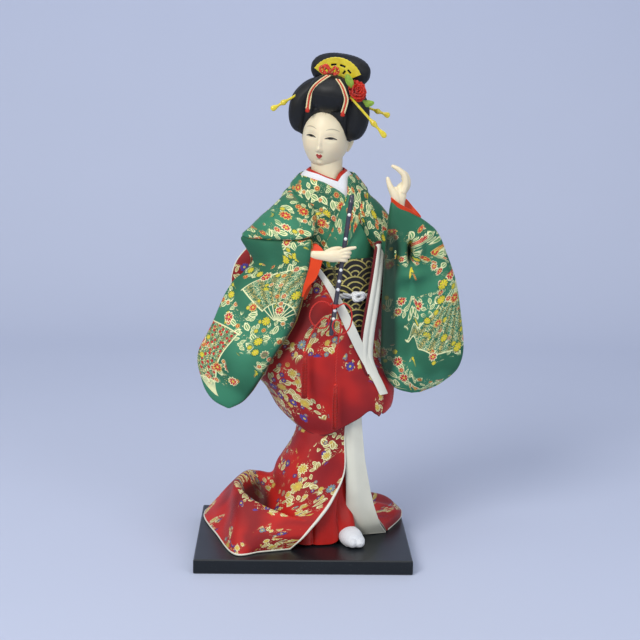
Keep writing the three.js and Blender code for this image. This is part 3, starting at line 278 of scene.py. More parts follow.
def domed(path, radii, head, tail, flat=1.0):
    """The path and its radii with an end built on each side, by pairs of reach and size in radii."""
    first = unit(path[0] - path[1]) * (radii[0] * flat)
    last = unit(path[-1] - path[-2]) * (radii[-1] * flat)
    path = np.concatenate([[path[0] + first * reach for reach, _ in head], path,
                           [path[-1] + last * reach for reach, _ in tail]])
    radii = np.concatenate([[radii[0] * size for _, size in head], radii,
                            [radii[-1] * size for _, size in tail]])
    return path, radii


ROUND_END = ((1, 0.3), (0.7, 0.75))


def tube(name, path, radii, paint, body="figure", sides=12, flat=1.0, up=(0, 0, 1), space=None,
         round_ends=True):
    path = np.asarray(path, float)
    radii = np.broadcast_to(np.asarray(radii, float), (len(path),))
    if round_ends:
        path, radii = domed(path, radii, ROUND_END, ROUND_END[::-1], flat)
    return ringed(name, tube_grid(path, radii, sides, flat, up), paint, body, space)


def ball_points(place, around, up):
    """Points and faces of a closed ball: place maps unit directions to points."""
    tilt = np.linspace(-math.pi / 2, math.pi / 2, up + 1)[1:-1]
    turn = np.linspace(0, FULL_TURN, around, endpoint=False)
    t, a = np.meshgrid(tilt, turn, indexing="ij")
    d = np.stack([np.cos(t) * np.cos(a), np.cos(t) * np.sin(a), np.sin(t)], -1).reshape(-1, 3)
    d = np.concatenate([d, [[0, 0, -1], [0, 0, 1]]])
    rows = len(tilt)
    i, j = np.mgrid[0:rows - 1, 0:around]
    a, b = (i * around + j).ravel(), (i * around + (j + 1) % around).ravel()
    faces = [list(f) for f in np.stack([a, b, b + around, a + around], 1)]
    south, north = rows * around, rows * around + 1
    last = (rows - 1) * around
    faces += [[south, (k + 1) % around, k] for k in range(around)]
    faces += [[north, last + k, last + (k + 1) % around] for k in range(around)]
    flat = np.stack([np.arctan2(d[:, 1], d[:, 0]) / FULL_TURN, d[:, 2] / 4], 1)
    return place(d), faces, flat[np.concatenate(faces)]


def merged(*parts):
    """Several (points, faces, uv) as one."""
    points, faces, uvs, start = [], [], [], 0
    for p, f, uv in parts:
        points.append(np.asarray(p))
        faces += [[k + start for k in face] for face in f]
        uvs.append(uv)
        start += len(p)
    return np.concatenate(points), faces, np.concatenate(uvs)


def apply_modifiers(piece):
    """The mesh as the modifiers leave it, in place of the piece's own."""
    shown = bpy.context.evaluated_depsgraph_get()
    fresh = bpy.data.meshes.new_from_object(piece.evaluated_get(shown))
    old = piece.data
    piece.modifiers.clear()
    piece.data = fresh
    bpy.data.meshes.remove(old)


def fused(piece, voxel, rounds):
    """One skin over overlapping shapes: voxel remesh, then rounds of smoothing."""
    paints = list(piece.data.materials)
    remesh = piece.modifiers.new("skin", "REMESH")
    remesh.mode = "VOXEL"
    remesh.voxel_size = voxel * MM
    remesh.use_smooth_shade = True
    soften = piece.modifiers.new("soften", "SMOOTH")
    soften.iterations = rounds
    soften.factor = 0.5
    apply_modifiers(piece)
    piece.data.materials.clear()
    for paint in paints:
        piece.data.materials.append(paint)
    piece.data.polygons.foreach_set("use_smooth", np.full(len(piece.data.polygons), True))


# Sections by height, centre and half sizes, for the stuffed body as in the part and for the cloths over it

BODY = np.array([
    (0, 9, 2, 32, 37), (25, 12, 1, 28, 31), (60, 23, -1, 25, 25), (100, 30, -1, 28, 25), (165, 28, 1, 32, 27),
    (215, 29, 1, 29, 23.5), (262, 22, 1, 33, 23), (292, 17, 2, 37, 21), (308, 16.5, 3, 36, 18),
    (318, 16.5, 3, 27, 17), (333, 16.5, 3, 14.2, 14.2),
], float)
ROBE = np.array([
    (104, 28, -2, 32, 32), (113, 28, -2, 41, 34), (121, 28.5, -2, 48, 35), (138, 24.5, -1.5, 54, 36.5),
    (149, 19, -1, 56.5, 37), (169, 15, 0, 52, 37),
    (206, 23, 1, 45, 36), (240, 24.5, 1, 43.5, 35), (275, 21, 2, 44, 33),
], float)
SKIRT = np.array([
    (0, 9, 2, 32, 37), (25, 12, 1, 28, 31), (60, 19, -1, 25, 25), (100, 23.5, -1, 24.5, 25),
    (124, 26, 0, 27, 25), (165, 28, 1, 32, 27),
], float)


def sections_at(z, table):
    """Centre and half sizes at each height, smooth between the table's rows."""
    fine = smooth_rows(table, 24)
    return [np.interp(z, fine[:, 0], fine[:, k]) for k in (1, 2, 3, 4)]


def round_body(angle, z, out, table=BODY):
    """A point at an angle in degrees, 0 in front and 90 at the doll's left, so far outside the body."""
    angle, z, out = np.broadcast_arrays(np.asarray(angle, float), np.asarray(z, float),
                                        np.asarray(out, float))
    x, y, wide, deep = sections_at(z, table)
    a = np.radians(angle)
    return np.stack([x + np.sin(a) * (wide + out), y - np.cos(a) * (deep + out), z], -1)


# Materials: node arithmetic written as arithmetic

PETALS = 5
SMALL_FLOWER, LARGE_FLOWER = 8.5, 15.0
LEAF_WIDTH = 0.22
FAN_RIBS = 9


def rgb(red, green, blue):
    """A colour given as it looks on a screen, 0 to 255."""
    return tuple((c / 255 / 12.92 if c <= 10 else ((c / 255 + 0.055) / 1.055) ** 2.4)
                 for c in (red, green, blue))


class Wire:
    """A number that a node works out, which adds and multiplies as numbers do."""

    def __init__(self, paint, socket):
        self.paint, self.socket = paint, socket

    def __add__(self, other):
        return self.paint.math("ADD", self, other)

    def __sub__(self, other):
        return self.paint.math("SUBTRACT", self, other)

    def __rsub__(self, other):
        return self.paint.math("SUBTRACT", other, self)

    def __mul__(self, other):
        return self.paint.math("MULTIPLY", self, other)

    def __truediv__(self, other):
        return self.paint.math("DIVIDE", self, other)

    def __abs__(self):
        return self.paint.math("ABSOLUTE", self)

    __radd__, __rmul__ = __add__, __mul__


class Paint:
    """A material whose look is worked out by nodes."""

    def __init__(self, name, **shader):
        self.material = bpy.data.materials.new(name)
        self.material.use_nodes = True
        self.nodes = self.material.node_tree.nodes
        self.links = self.material.node_tree.links
        self.shader = self.nodes["Principled BSDF"]
        self.set(**shader)

    def put(self, socket, value):
        if isinstance(value, Wire):
            self.links.new(value.socket, socket)
        elif socket.type == "RGBA":
            socket.default_value = (*value, 1)
        else:
            socket.default_value = value

    def set(self, **shader):
        for name, value in shader.items():
            self.put(self.shader.inputs[name.replace("_", " ").title().replace("Ior", "IOR")], value)
        return self

    def node(self, kind, out, inputs=(), **settings):
        node = self.nodes.new(kind)
        for key, value in settings.items():
            setattr(node, key, value)
        for key, value in dict(inputs).items():
            self.put(node.inputs[key], value)
        if isinstance(out, (tuple, list)):
            return [Wire(self, node.outputs[k]) for k in out]
        return Wire(self, node.outputs[out])

    def math(self, kind, *values):
        return self.node("ShaderNodeMath", 0, enumerate(values), operation=kind)

    def offset(self, vector, start):
        return self.node("ShaderNodeVectorMath", 0, {0: vector, 1: start}, operation="SUBTRACT")

    def step(self, value, low, high):
        """0 before low, 1 after high, smooth between; low may be the higher of the two."""
        inputs = {0: value, 1: low, 2: high}
        return self.node("ShaderNodeMapRange", 0, inputs, interpolation_type="SMOOTHSTEP")

    def between(self, value, low, high):
        """The same range, changed in a straight line to low and high from 0 and 1."""
        return self.node("ShaderNodeMapRange", 0, {0: value, 3: low, 4: high})

    def both(self, *masks):
        result = masks[0]
        for mask in masks[1:]:
            result = result * mask
        return result

    def most(self, *masks):
        result = masks[0]
        for mask in masks[1:]:
            result = self.math("MAXIMUM", result, mask)
        return result

    def mix(self, share, a, b):
        return self.node("ShaderNodeMix", 2, {0: share, 6: a, 7: b}, data_type="RGBA")

    def xyz(self, vector):
        return self.node("ShaderNodeSeparateXYZ", (0, 1, 2), {0: vector})

    def join(self, x, y):
        return self.node("ShaderNodeCombineXYZ", 0, {0: x, 1: y})

    def print_place(self):
        """The place on the cloth in millimetres."""
        flat = self.node("ShaderNodeUVMap", 0, uv_map="cloth")
        return self.stretched(flat, (100, 100, 100))

    def solid_place(self):
        """The place in the piece's own space, in millimetres."""
        place = self.node("ShaderNodeTexCoord", "Object")
        return self.stretched(place, (1000, 1000, 1000))

    def stretched(self, vector, scale, location=(0, 0, 0)):
        return self.node("ShaderNodeMapping", 0, {0: vector, "Scale": scale, "Location": location})

    def noise(self, vector, size, detail=2.0, distortion=0.0):
        inputs = {"Vector": vector, "Scale": 1 / size, "Detail": detail, "Distortion": distortion}
        return self.node("ShaderNodeTexNoise", 0, inputs)

    def cells(self, vector, size, randomness, shift=(0, 0, 0)):
        """Distance from the nearest cell's centre, its random colour, that centre, and the scaled place."""
        scaled = self.stretched(vector, (1 / size, 1 / size, 1 / size), shift)
        inputs = {"Vector": scaled, "Scale": 1.0, "Randomness": randomness}
        outs = ("Distance", "Color", "Position")
        return (*self.node("ShaderNodeTexVoronoi", outs, inputs, voronoi_dimensions="2D"), scaled)

    def raised(self, height, distance, strength):
        """A bump from a height from 0 to 1, distance millimetres high at 1."""
        return self.node("ShaderNodeBump", 0,
                         {"Height": height, "Distance": distance * MM, "Strength": strength})

    # Motifs of the prints

    def blossoms(self, place, size, shift):
        """Flowers, one to a cell of the given size: petals, outline, eye, and two random numbers for each."""
        distance, colour, centre, scaled = self.cells(place, size, 0.75, shift)
        x, y, _ = self.xyz(self.offset(scaled, centre))
        red, green, blue = self.node("ShaderNodeSeparateColor", (0, 1, 2), {0: colour})
        turn = self.math("ARCTAN2", y, x) + red * FULL_TURN
        lobe = abs(self.math("COSINE", turn * (PETALS / 2)))
        edge = 0.19 + 0.19 * self.math("POWER", lobe, 0.55) - 0.12 * self.math("POWER", lobe, 9.0)
        inside = edge * self.between(blue, 0.72, 1.0) - distance
        petal = self.step(inside, 0.0, 0.035)
        line = self.step(abs(inside - 0.02), 0.045, 0.02)
        spoke = self.step(lobe, 0.25, 0.1)
        eye = self.step(distance, 0.085, 0.06)
        return petal, self.most(line, self.both(spoke, petal)), eye, green, red

    def sprays(self, place, size, shift):
        """Small leaves, one to a cell: leaf, outline with its vein, and a random number for each."""
        _, colour, centre, scaled = self.cells(place, size, 1.0, shift)
        x, y, _ = self.xyz(self.offset(scaled, centre))
        red, green, _ = self.node("ShaderNodeSeparateColor", (0, 1, 2), {0: colour})
        turn = red * FULL_TURN
        cosine, sine = self.math("COSINE", turn), self.math("SINE", turn)
        along = abs(x * cosine + y * sine)
        across = abs(y * cosine - x * sine)
        shape = across - LEAF_WIDTH * (1.0 - along * along * 5.0)
        leaf = self.step(shape, 0.0, -0.05)
        line = self.step(abs(shape), 0.07, 0.03)
        vein = self.step(across, 0.05, 0.02)
        return leaf, self.most(line, self.both(vein, leaf)), green

    def fan(self, place, pivot, heading, inner, outer, spread):
        """An open fan: its leaf, arcs along the leaf's edges, ribs, pleat stripes."""
        inputs = {0: place, "Location": (*pivot, 0), "Rotation": (0, 0, math.radians(heading))}
        x, y, _ = self.xyz(self.node("ShaderNodeMapping", 0, inputs, vector_type="TEXTURE"))
        radius = self.math("SQRT", x * x + y * y)
        turn = self.math("ARCTAN2", y, x)
        half = math.radians(spread)
        opened = self.step(abs(turn), half, half - 0.02)
        leaf = self.both(self.step(radius, inner, inner + 0.4), self.step(radius, outer, outer - 0.4), opened)
        reach = self.math("MINIMUM", abs(radius - inner), abs(radius - outer))
        side = abs(abs(turn) - half) * radius
        near = self.step(self.math("MINIMUM", reach, side), 0.75, 0.35)
        rim = self.both(near, self.step(radius, inner - 1, inner), self.step(radius, outer + 1, outer),
                        self.step(abs(turn), half + 0.05, half + 0.02))
        pitch = 2 * half / FAN_RIBS
        off = abs(self.math("FRACT", turn / pitch + 20.5) - 0.5) * pitch * radius
        sticks = self.both(self.step(off, 0.55, 0.25), opened, self.step(radius, inner, inner - 0.5),
                           self.step(radius, 1.5, 2.5))
        pleat = self.math("FRACT", turn / pitch + 20.0)
        return leaf, rim, sticks, pleat


def weave(paint, place, thread=0.42):
    """The height of a plain twill, 0 to 1."""
    x, y, _ = paint.xyz(place)
    warp = paint.math("SINE", (x + y) * (FULL_TURN / thread))
    weft = paint.math("SINE", (y - x * 0.35) * (FULL_TURN / thread * 0.8))
    return (warp * 0.3 + weft * 0.2) + 0.5


CREAM = rgb(232, 232, 176)
GOLD = rgb(206, 182, 96)


def brocade(name, ground, deep, motif, second, leafy, fans=(), cover=0.5, seed=0.0, blue=None,
            second_share=0.5):
    """Silk brocade: flowers, leaves and fans in raised glossy threads over a matt twill ground.

    ground and deep are the cloth's two tones, motif and second are the flowers' colours, and leafy is the
    leaves' colour.
    fans are (pivot u, pivot v, heading, inner, outer, spread, flowered), in millimetres of cloth and degrees.
    The cloth's own attributes place the print: motifs makes it denser or plain, and the painted shade
    attribute darkens it towards near black, shade painted into the colour where shadow falls.
    """
    p = Paint(name, roughness=0.55)
    place = p.print_place()
    more = p.node("ShaderNodeAttribute", 2, attribute_name="motifs")
    painted_shade = p.node("ShaderNodeAttribute", 2, attribute_name="painted_shade")
    patch = p.noise(p.stretched(place, (1, 1, 1), (seed, seed * 0.7, 0)), 34.0, 1.5) + more * 0.3
    busy = p.step(patch, 0.62 - cover * 0.32, 0.66 - cover * 0.32)
    tone = p.noise(place, 60.0, 2.0)
    colour = p.mix(p.step(tone, 0.35, 0.65), ground, deep)
    thread = p.node("ShaderNodeTexNoise", 0, {"Vector": p.stretched(place, (0.6, 9, 1)), "Scale": 1.0})
    colour = p.mix(p.between(thread, 0.0, 0.22), colour, deep)
    raised = []

    # Scrolls: thin crooked lines in patches
    field = p.noise(place, 5.2, 2.0, distortion=0.6)
    scroll = p.step(abs(p.math("FRACT", field * 7.0) - 0.5), 0.13, 0.06)
    speck = p.step(p.noise(place, 1.3, 1.0), 0.5, 0.62)
    fine = p.both(scroll, busy, p.step(p.noise(place, 16.0), 0.46, 0.54), speck)
    colour = p.mix(fine, colour, p.mix(p.step(patch, 0.5, 0.6), GOLD, CREAM))
    raised.append(fine)

    for size, shift, share in ((6.4, (seed + 3, 1.7, 0), 0.62), (9.5, (seed + 8, 5.1, 0), 0.5)):
        leaf, line, green = p.sprays(place, size, shift)
        here = p.both(busy, p.step(green, 1 - share, 1.01 - share))
        colour = p.mix(p.both(leaf, here), colour, leafy)
        lined = p.both(line, here)
        colour = p.mix(lined, colour, CREAM)
        raised.append(lined)

    for pivot_u, pivot_v, heading, inner, outer, spread, flowered in fans:
        leaf, rim, sticks, pleat = p.fan(place, (pivot_u, pivot_v), heading, inner, outer, spread)
        inner_field = p.noise(place, 2.6, 1.0, distortion=0.8)
        lace = p.step(abs(p.math("FRACT", inner_field * 5.0) - 0.5), 0.22, 0.12)
        gilt = p.mix(p.step(abs(pleat - 0.5), 0.0, 0.5), p.mix(lace, ground, CREAM), p.mix(lace, deep, GOLD))
        colour = p.mix(leaf, colour, gilt)
        if flowered:
            dots = p.both(p.step(p.cells(place, 5.0, 0.9)[0], 0.3, 0.22), leaf)
            colour = p.mix(dots, colour, motif)
        lined = p.most(rim, sticks)
        colour = p.mix(lined, colour, CREAM)
        raised += [lined, p.both(leaf, lace)]

    sizes = ((SMALL_FLOWER, (seed, 0.3, 0), 0.5), (LARGE_FLOWER, (seed + 5, 2.2, 0), 0.62))
    for size, shift, share in sizes:
        petal, line, eye, green, red = p.blossoms(place, size, shift)
        here = p.both(p.step(green, 1 - share, 1.005 - share),
                      p.step(patch, 0.57 - cover * 0.3, 0.6 - cover * 0.3))
        tint = p.mix(p.step(red, 1 - second_share, 1.01 - second_share), motif, second)
        if blue is not None:
            tint = p.mix(p.step(red, 0.74, 0.75), tint, blue)
        colour = p.mix(p.both(petal, here), colour, tint)
        lined = p.both(line, here)
        thread_colour = p.mix(p.step(red, 0.3, 0.31), CREAM, GOLD)
        colour = p.mix(lined, colour,
                       p.mix(p.step(red, 1 - second_share, 1.01 - second_share), thread_colour, deep))
        middle = p.both(eye, here)
        colour = p.mix(middle, colour, rgb(215, 190, 70))
        raised += [lined, p.both(petal, here) * 0.6, middle]

    # Painted shade: the colour goes towards near black where the cloth's painted shade attribute is high
    colour = p.mix(painted_shade, colour, tuple(0.16 * c for c in deep))
    threads = p.most(*raised)
    twill = weave(p, place)
    height = threads * 0.7 + twill * 0.3
    flecks = p.step(p.noise(place, 0.9, 1.0), 0.35, 0.7)
    p.set(
        base_color=colour,
        roughness=p.between(threads * flecks, 0.62, 0.34),
        metallic=threads * flecks * 0.33,
        normal=p.raised(height, 0.16, 0.8),
        sheen_weight=0.06,
        sheen_roughness=0.4,
        specular_ior_level=0.4,
    )
    return p.material


# The finishes

SATIN_THREAD = 0.3
VEIN_GAP = 2.2
WAVE_RADIUS = 14.5


def lacquer():
    """Black lacquer with a faint waviness, dust and fine rubbing marks."""
    p = Paint("black lacquer", coat_weight=0.15, coat_roughness=0.3, specular_ior_level=0.3)
    place = p.solid_place()
    dust = p.step(p.noise(place, 1.1, 2.0), 0.62, 0.72)
    cloudy = p.noise(place, 38.0, 3.0)
    marks = p.noise(p.stretched(place, (0.05, 1.6, 1)), 1.0, 2.0)
    p.set(
        base_color=p.mix(p.both(dust, cloudy) * 0.35, p.mix(cloudy, rgb(11, 16, 20), rgb(18, 25, 30)),
                         rgb(84, 89, 94)),
        roughness=p.between(cloudy + marks * 0.4 + dust * 0.5, 0.26, 0.42),
        normal=p.raised(p.noise(place, 9.0, 2.0), 0.05, 0.35),
    )
    return p.material


def steel():
    p = Paint("drawn steel", metallic=1.0)
    place = p.solid_place()
    drawn = p.noise(p.stretched(place, (3, 3, 0.04)), 1.0, 2.0)
    p.set(base_color=p.mix(drawn, rgb(140, 142, 144), rgb(176, 178, 180)),
          roughness=p.between(drawn, 0.24, 0.42))
    return p.material


def plain_weave(name, light, dark, thread=0.45, crease=0.25, sheen=0.2, crepe=0.0):
    """Plain woven cloth: threads over and under, thicker and thinner, with soft creases."""
    p = Paint(name, sheen_weight=sheen, sheen_roughness=0.5, roughness=0.8, specular_ior_level=0.3)
    place = p.print_place()
    x, y, _ = p.xyz(place)
    warp = p.math("SINE", x * (FULL_TURN / thread))
    weft = p.math("SINE", y * (FULL_TURN / thread))
    over = warp * weft * 0.5 + 0.5
    slub = p.noise(p.stretched(place, (0.08, 1.4, 1)), 1.0, 2.0)
    soft = p.noise(place, 12.0, 3.0)
    height = over * 0.35 + slub * 0.25 + soft * crease
    if crepe:
        height = height + p.cells(place, crepe, 0.9)[0]
    p.set(
        base_color=p.mix(p.between(over * 0.4 + slub * 0.6, 0.0, 1.0), dark, light),
        normal=p.raised(height, 0.16, 0.7),
    )
    return p.material


def satin(name, light, dark, rough):
    """Satin: long floats that catch the light across the cloth, with their sheen also painted into the
    colour.
    """
    p = Paint(name, sheen_weight=0.05, sheen_roughness=0.3, specular_ior_level=0.35, anisotropic=0.5)
    place = p.print_place()
    floats = p.noise(p.stretched(place, (1 / SATIN_THREAD, 0.09, 1)), 1.0, 2.0)
    soft = p.noise(place, 22.0, 3.0)
    # The colour runs from dark to light with the floats, a painted sheen, and mostly with a broad noise,
    # painted patches of fold shade and highlight
    p.set(
        base_color=p.mix(p.between(floats * 0.25 + soft * 0.75, 0.1, 0.75), dark, light),
        roughness=p.between(floats + soft * 0.3, rough, rough + 0.16),
        normal=p.raised(floats * 0.6 + soft, 0.2, 0.45),
    )
    return p.material


def batting():
    p = Paint("cotton batting", roughness=0.95, sheen_weight=0.5, sheen_roughness=0.7)
    place = p.solid_place()
    fluff = p.noise(place, 2.4, 5.0, distortion=0.7)
    p.set(base_color=p.mix(fluff, rgb(214, 208, 190), rgb(240, 237, 226)), normal=p.raised(fluff, 0.8, 0.9))
    return p.material


def seigaiha():
    """The obi's cloth: rows of overlapping waves, three gold arcs to each, on black."""
    p = Paint("wave patterned obi", specular_ior_level=0.4, sheen_weight=0.15)
    place = p.print_place()
    x, y, _ = p.xyz(place)
    radius = WAVE_RADIUS
    rise = radius / 2
    first = p.math("CEIL", (y - radius) / rise)
    chosen = None
    for above in (2, 1, 0):
        row = first + float(above)
        odd = p.math("FLOORED_MODULO", row, 2.0)
        shifted = x / (2 * radius) - odd * 0.5
        dx = (shifted - p.math("ROUND", shifted)) * (2 * radius)
        dy = y - row * rise
        distance = p.math("SQRT", dx * dx + dy * dy)
        if chosen is None:
            chosen = distance
        else:
            inside = p.math("LESS_THAN", distance, radius)
            chosen = distance * inside + chosen * (1.0 - inside)
    share = chosen / radius
    arcs = p.most(*(p.step(abs(share - at), 0.052, 0.03) for at in (0.3, 0.62, 0.94)))
    core = p.step(share, 0.06, 0.04)
    gold = p.most(arcs, core)
    twill = weave(p, place, 0.5)
    fleck = p.step(p.noise(place, 0.8, 1.0), 0.3, 0.6)
    p.set(
        base_color=p.mix(gold, p.mix(twill, rgb(14, 12, 13), rgb(34, 28, 26)),
                         p.mix(fleck, rgb(168, 150, 74), rgb(214, 202, 122))),
        roughness=p.between(gold, 0.6, 0.36),
        metallic=gold * 0.3,
        normal=p.raised(gold * 0.6 + twill * 0.4, 0.2, 0.8),
    )
    return p.material


def twisted(name, light, dark, strands=3, pitch=2.6, rough=0.45, depth=0.22, metal=0.0):
    """A laid cord: strands of fine fibres that wind round it. Needs a tube's coordinates."""
    p = Paint(name, roughness=rough, sheen_weight=0.06, sheen_roughness=0.4, metallic=metal)
    share, along, _ = p.xyz(p.node("ShaderNodeUVMap", 0, uv_map="cloth"))
    wind = share * float(strands) + along * (100 / pitch)
    lay = abs(p.math("SINE", wind * math.pi))
    fibre = p.math("SINE", wind * (math.pi * 14))
    # The colour darkens into the grooves between the strands, painted shade, and lightens on their crowns
    p.set(
        base_color=p.mix(p.math("POWER", lay, 0.6), dark, light),
        normal=p.raised(lay + fibre * 0.07, depth, 0.9),
    )
    return p.material


def ivory(name, painted=None):
    """Shell white over composition: smooth, faintly warm, a little light passing in."""
    p = Paint(name, subsurface_weight=0.12, subsurface_scale=0.004, roughness=0.42, specular_ior_level=0.4,
              subsurface_radius=(1.0, 0.6, 0.4))
    place = p.solid_place()
    soft = p.noise(place, 26.0, 2.0)
    grain = p.noise(place, 0.7, 2.0)
    colour = p.mix(soft, rgb(228, 212, 176), rgb(237, 224, 192))
    rough = p.between(grain * 0.5 + soft * 0.5, 0.34, 0.5)
    if painted is not None:
        colour, rough = painted(p, colour, rough)
    p.set(base_color=colour, roughness=rough, normal=p.raised(grain, 0.03, 0.35))
    return p.material


def hair():
    """Combed silk hair: fine strands that run along the piece, oiled."""
    p = Paint("dressed hair", specular_ior_level=0.35, coat_weight=0.05, coat_roughness=0.4, anisotropic=0.6)
    share, along, _ = p.xyz(p.node("ShaderNodeUVMap", 0, uv_map="cloth"))
    run = p.join(share * 260.0, along * 9.0)
    strand = p.noise(run, 1.0, 3.0)
    lock = p.noise(p.join(share * 46.0, along * 4.0), 1.0, 2.0)
    p.set(
        base_color=p.mix(strand * 0.6 + lock * 0.4, rgb(7, 8, 10), rgb(22, 24, 26)),
        roughness=p.between(strand, 0.42, 0.64),
        normal=p.raised(strand * 0.45 + lock, 0.35, 0.75),
    )
    return p.material


def amber():
    """Yellow translucent plastic, polished, with flow marks."""
    p = Paint("amber plastic", subsurface_weight=0.35, subsurface_scale=0.004,
              subsurface_radius=(1.0, 0.7, 0.15), coat_weight=0.6, coat_roughness=0.1, roughness=0.22,
              transmission_weight=0.12, ior=1.49)
    place = p.solid_place()
    flow = p.noise(place, 7.0, 2.0, distortion=0.8)
    p.set(base_color=p.mix(flow, rgb(205, 178, 20), rgb(238, 222, 62)), normal=p.raised(flow, 0.06, 0.4))
    return p.material


def petal_silk(name, light, dark):
    """Pressed silk of the flower and leaves."""
    p = Paint(name, roughness=0.5, sheen_weight=0.4, sheen_roughness=0.35, subsurface_weight=0.1,
              subsurface_scale=0.002)
    place = p.print_place()
    across, _, _ = p.xyz(place)
    ribs = p.math("SINE", across * (FULL_TURN / VEIN_GAP))
    soft = p.noise(place, 3.0, 3.0)
    p.set(
        base_color=p.mix(p.between(soft + ribs * 0.12, 0.0, 1.0), dark, light),
        normal=p.raised(soft * 0.6 + ribs * 0.15 + weave(p, place, 0.3) * 0.2, 0.22, 0.7),
    )
    return p.material


def wood():
    p = Paint("bare wood", roughness=0.65)
    place = p.solid_place()
    rings = p.noise(p.stretched(place, (1, 1, 0.06)), 1.3, 3.0, distortion=0.4)
    p.set(base_color=p.mix(rings, rgb(168, 130, 84), rgb(212, 180, 132)), normal=p.raised(rings, 0.08, 0.5))
    return p.material


def flute_finish():
    p = Paint("flute lacquer", coat_weight=0.5, coat_roughness=0.15)
    place = p.solid_place()
    wound = p.math("SINE", p.xyz(place)[2] * (FULL_TURN / 1.6))
    patch = p.noise(place, 6.0, 2.0)
    p.set(
        base_color=p.mix(patch, rgb(34, 34, 48), rgb(62, 60, 76)),
        roughness=p.between(patch, 0.28, 0.5),
        normal=p.raised(wound * 0.3 + patch * 0.4, 0.06, 0.5),
    )
    return p.material


def bead():
    p = Paint("white bead", coat_weight=0.6, coat_roughness=0.08, subsurface_weight=0.2,
              subsurface_scale=0.002)
    cloudy = p.noise(p.solid_place(), 1.2, 2.0)
    p.set(base_color=p.mix(cloudy, rgb(222, 222, 226), rgb(246, 246, 244)),
          roughness=p.between(cloudy, 0.2, 0.34))
    return p.material


def backdrop_cloth():
    """The pale cloth of the floor and the background."""
    p = Paint("pale backdrop", roughness=0.9, specular_ior_level=0.1)
    soft = p.noise(p.solid_place(), 420.0, 2.0)
    p.set(base_color=p.mix(p.between(soft, 0.2, 0.8), rgb(188, 196, 216), rgb(197, 204, 224)))
    return p.material


PRINTS = {
    "green": dict(ground=rgb(52, 130, 96), deep=rgb(26, 92, 64), motif=rgb(188, 38, 34),
                  second=rgb(214, 198, 40), leafy=rgb(104, 152, 96)),
    "red": dict(ground=rgb(208, 28, 12), deep=rgb(136, 8, 14), motif=rgb(204, 172, 70),
                second=rgb(120, 150, 156), leafy=rgb(176, 142, 62), blue=rgb(64, 66, 150)),
}

finish = {
    "lacquer": lacquer(),
    "steel": steel(),
    "batting": batting(),
    "obi": seigaiha(),
    "hair": hair(),
    "amber": amber(),
    "wood": wood(),
    "flute": flute_finish(),
    "bead": bead(),
    "backdrop": backdrop_cloth(),
    "skin": ivory("ivory hands"),
    "tabi": plain_weave("white cotton", rgb(236, 237, 238), rgb(196, 200, 206), crease=0.5),
    # The red satin's light and dark tones are a painted highlight and a painted fold shadow
    "satin": satin("red satin", rgb(232, 30, 4), rgb(96, 2, 1), rough=0.24),
    "cuff": satin("orange red lining", rgb(240, 82, 20), rgb(196, 40, 8), rough=0.38),
    "lining": satin("off white lining", rgb(238, 236, 220), rgb(206, 205, 186), rough=0.42),
    "dark_lining": plain_weave("dark red lining", rgb(120, 18, 24), rgb(72, 8, 16), sheen=0.1),
    "collar": plain_weave("white collar crepe", rgb(240, 240, 240), rgb(212, 214, 220), thread=0.7, crepe=1.6,
                          sheen=0.3),
    "red_collar": satin("red collar", rgb(214, 50, 18), rgb(150, 22, 8), rough=0.4),
    "band": satin("white band", rgb(240, 238, 222), rgb(204, 204, 190), rough=0.4),
    "silk_cord": twisted("white silk cord", rgb(240, 240, 236), rgb(176, 176, 172), strands=4, pitch=7.0,
                         depth=0.5),
    "red_cord": twisted("red silk cord", rgb(214, 34, 16), rgb(120, 10, 6)),
    "paper_cord": twisted("wound paper cord", rgb(216, 60, 30), rgb(140, 20, 12), strands=1, pitch=1.1),
    "cream_cord": twisted("cream paper cord", rgb(236, 224, 176), rgb(186, 160, 96), strands=1, pitch=1.1),
    "gilt": twisted("gold wound thread", rgb(224, 196, 104), rgb(150, 116, 44), strands=1, pitch=0.9,
                    rough=0.3, metal=0.7),
    "petal": petal_silk("flower silk", rgb(244, 62, 28), rgb(186, 22, 12)),
    "leaf": petal_silk("leaf silk", rgb(168, 202, 66), rgb(74, 118, 28)),
    "piping": twisted("gold piping", rgb(196, 170, 84), rgb(120, 92, 40), strands=2, pitch=1.6, rough=0.4,
                      metal=0.3),
}


# Camera at the photograph's place, fitted to the board's corners, in metres

CAMERA_PLACE = Vector((-0.02045, -1.1706, 0.4307))
CAMERA_YAW, CAMERA_PITCH, CAMERA_ROLL = 0.0284, 0.1859, 0.0176
FOCAL_PIXELS, IMAGE_PIXELS, SENSOR_WIDTH = 1338.3, 640, 36


def make_camera():
    """The camera looks along +Y, turned by the yaw towards +X, tipped down by the pitch, then rolled."""
    data = bpy.data.cameras.new("camera")
    data.lens = FOCAL_PIXELS / IMAGE_PIXELS * SENSOR_WIDTH
    data.sensor_width = SENSOR_WIDTH
    data.clip_start, data.clip_end = 0.05, 20
    camera = bpy.data.objects.new("camera", data)
    bpy.context.scene.collection.objects.link(camera)
    level = Matrix.Rotation(-CAMERA_YAW, 4, "Z") @ Matrix.Rotation(math.pi / 2 - CAMERA_PITCH, 4, "X")
    camera.matrix_world = Matrix.Translation(CAMERA_PLACE) @ level @ Matrix.Rotation(CAMERA_ROLL, 4, "Z")
    bpy.context.scene.camera = camera


def make_lamp(name, place, target, size, power, colour):
    data = bpy.data.lights.new(name, "AREA")
    data.shape, data.size, data.energy, data.color = "DISK", size, power, colour
    lamp = bpy.data.objects.new(name, data)
    bpy.context.scene.collection.objects.link(lamp)
    lamp.location = place
    lamp.rotation_euler = (Vector(target) - Vector(place)).to_track_quat("-Z", "Y").to_euler()


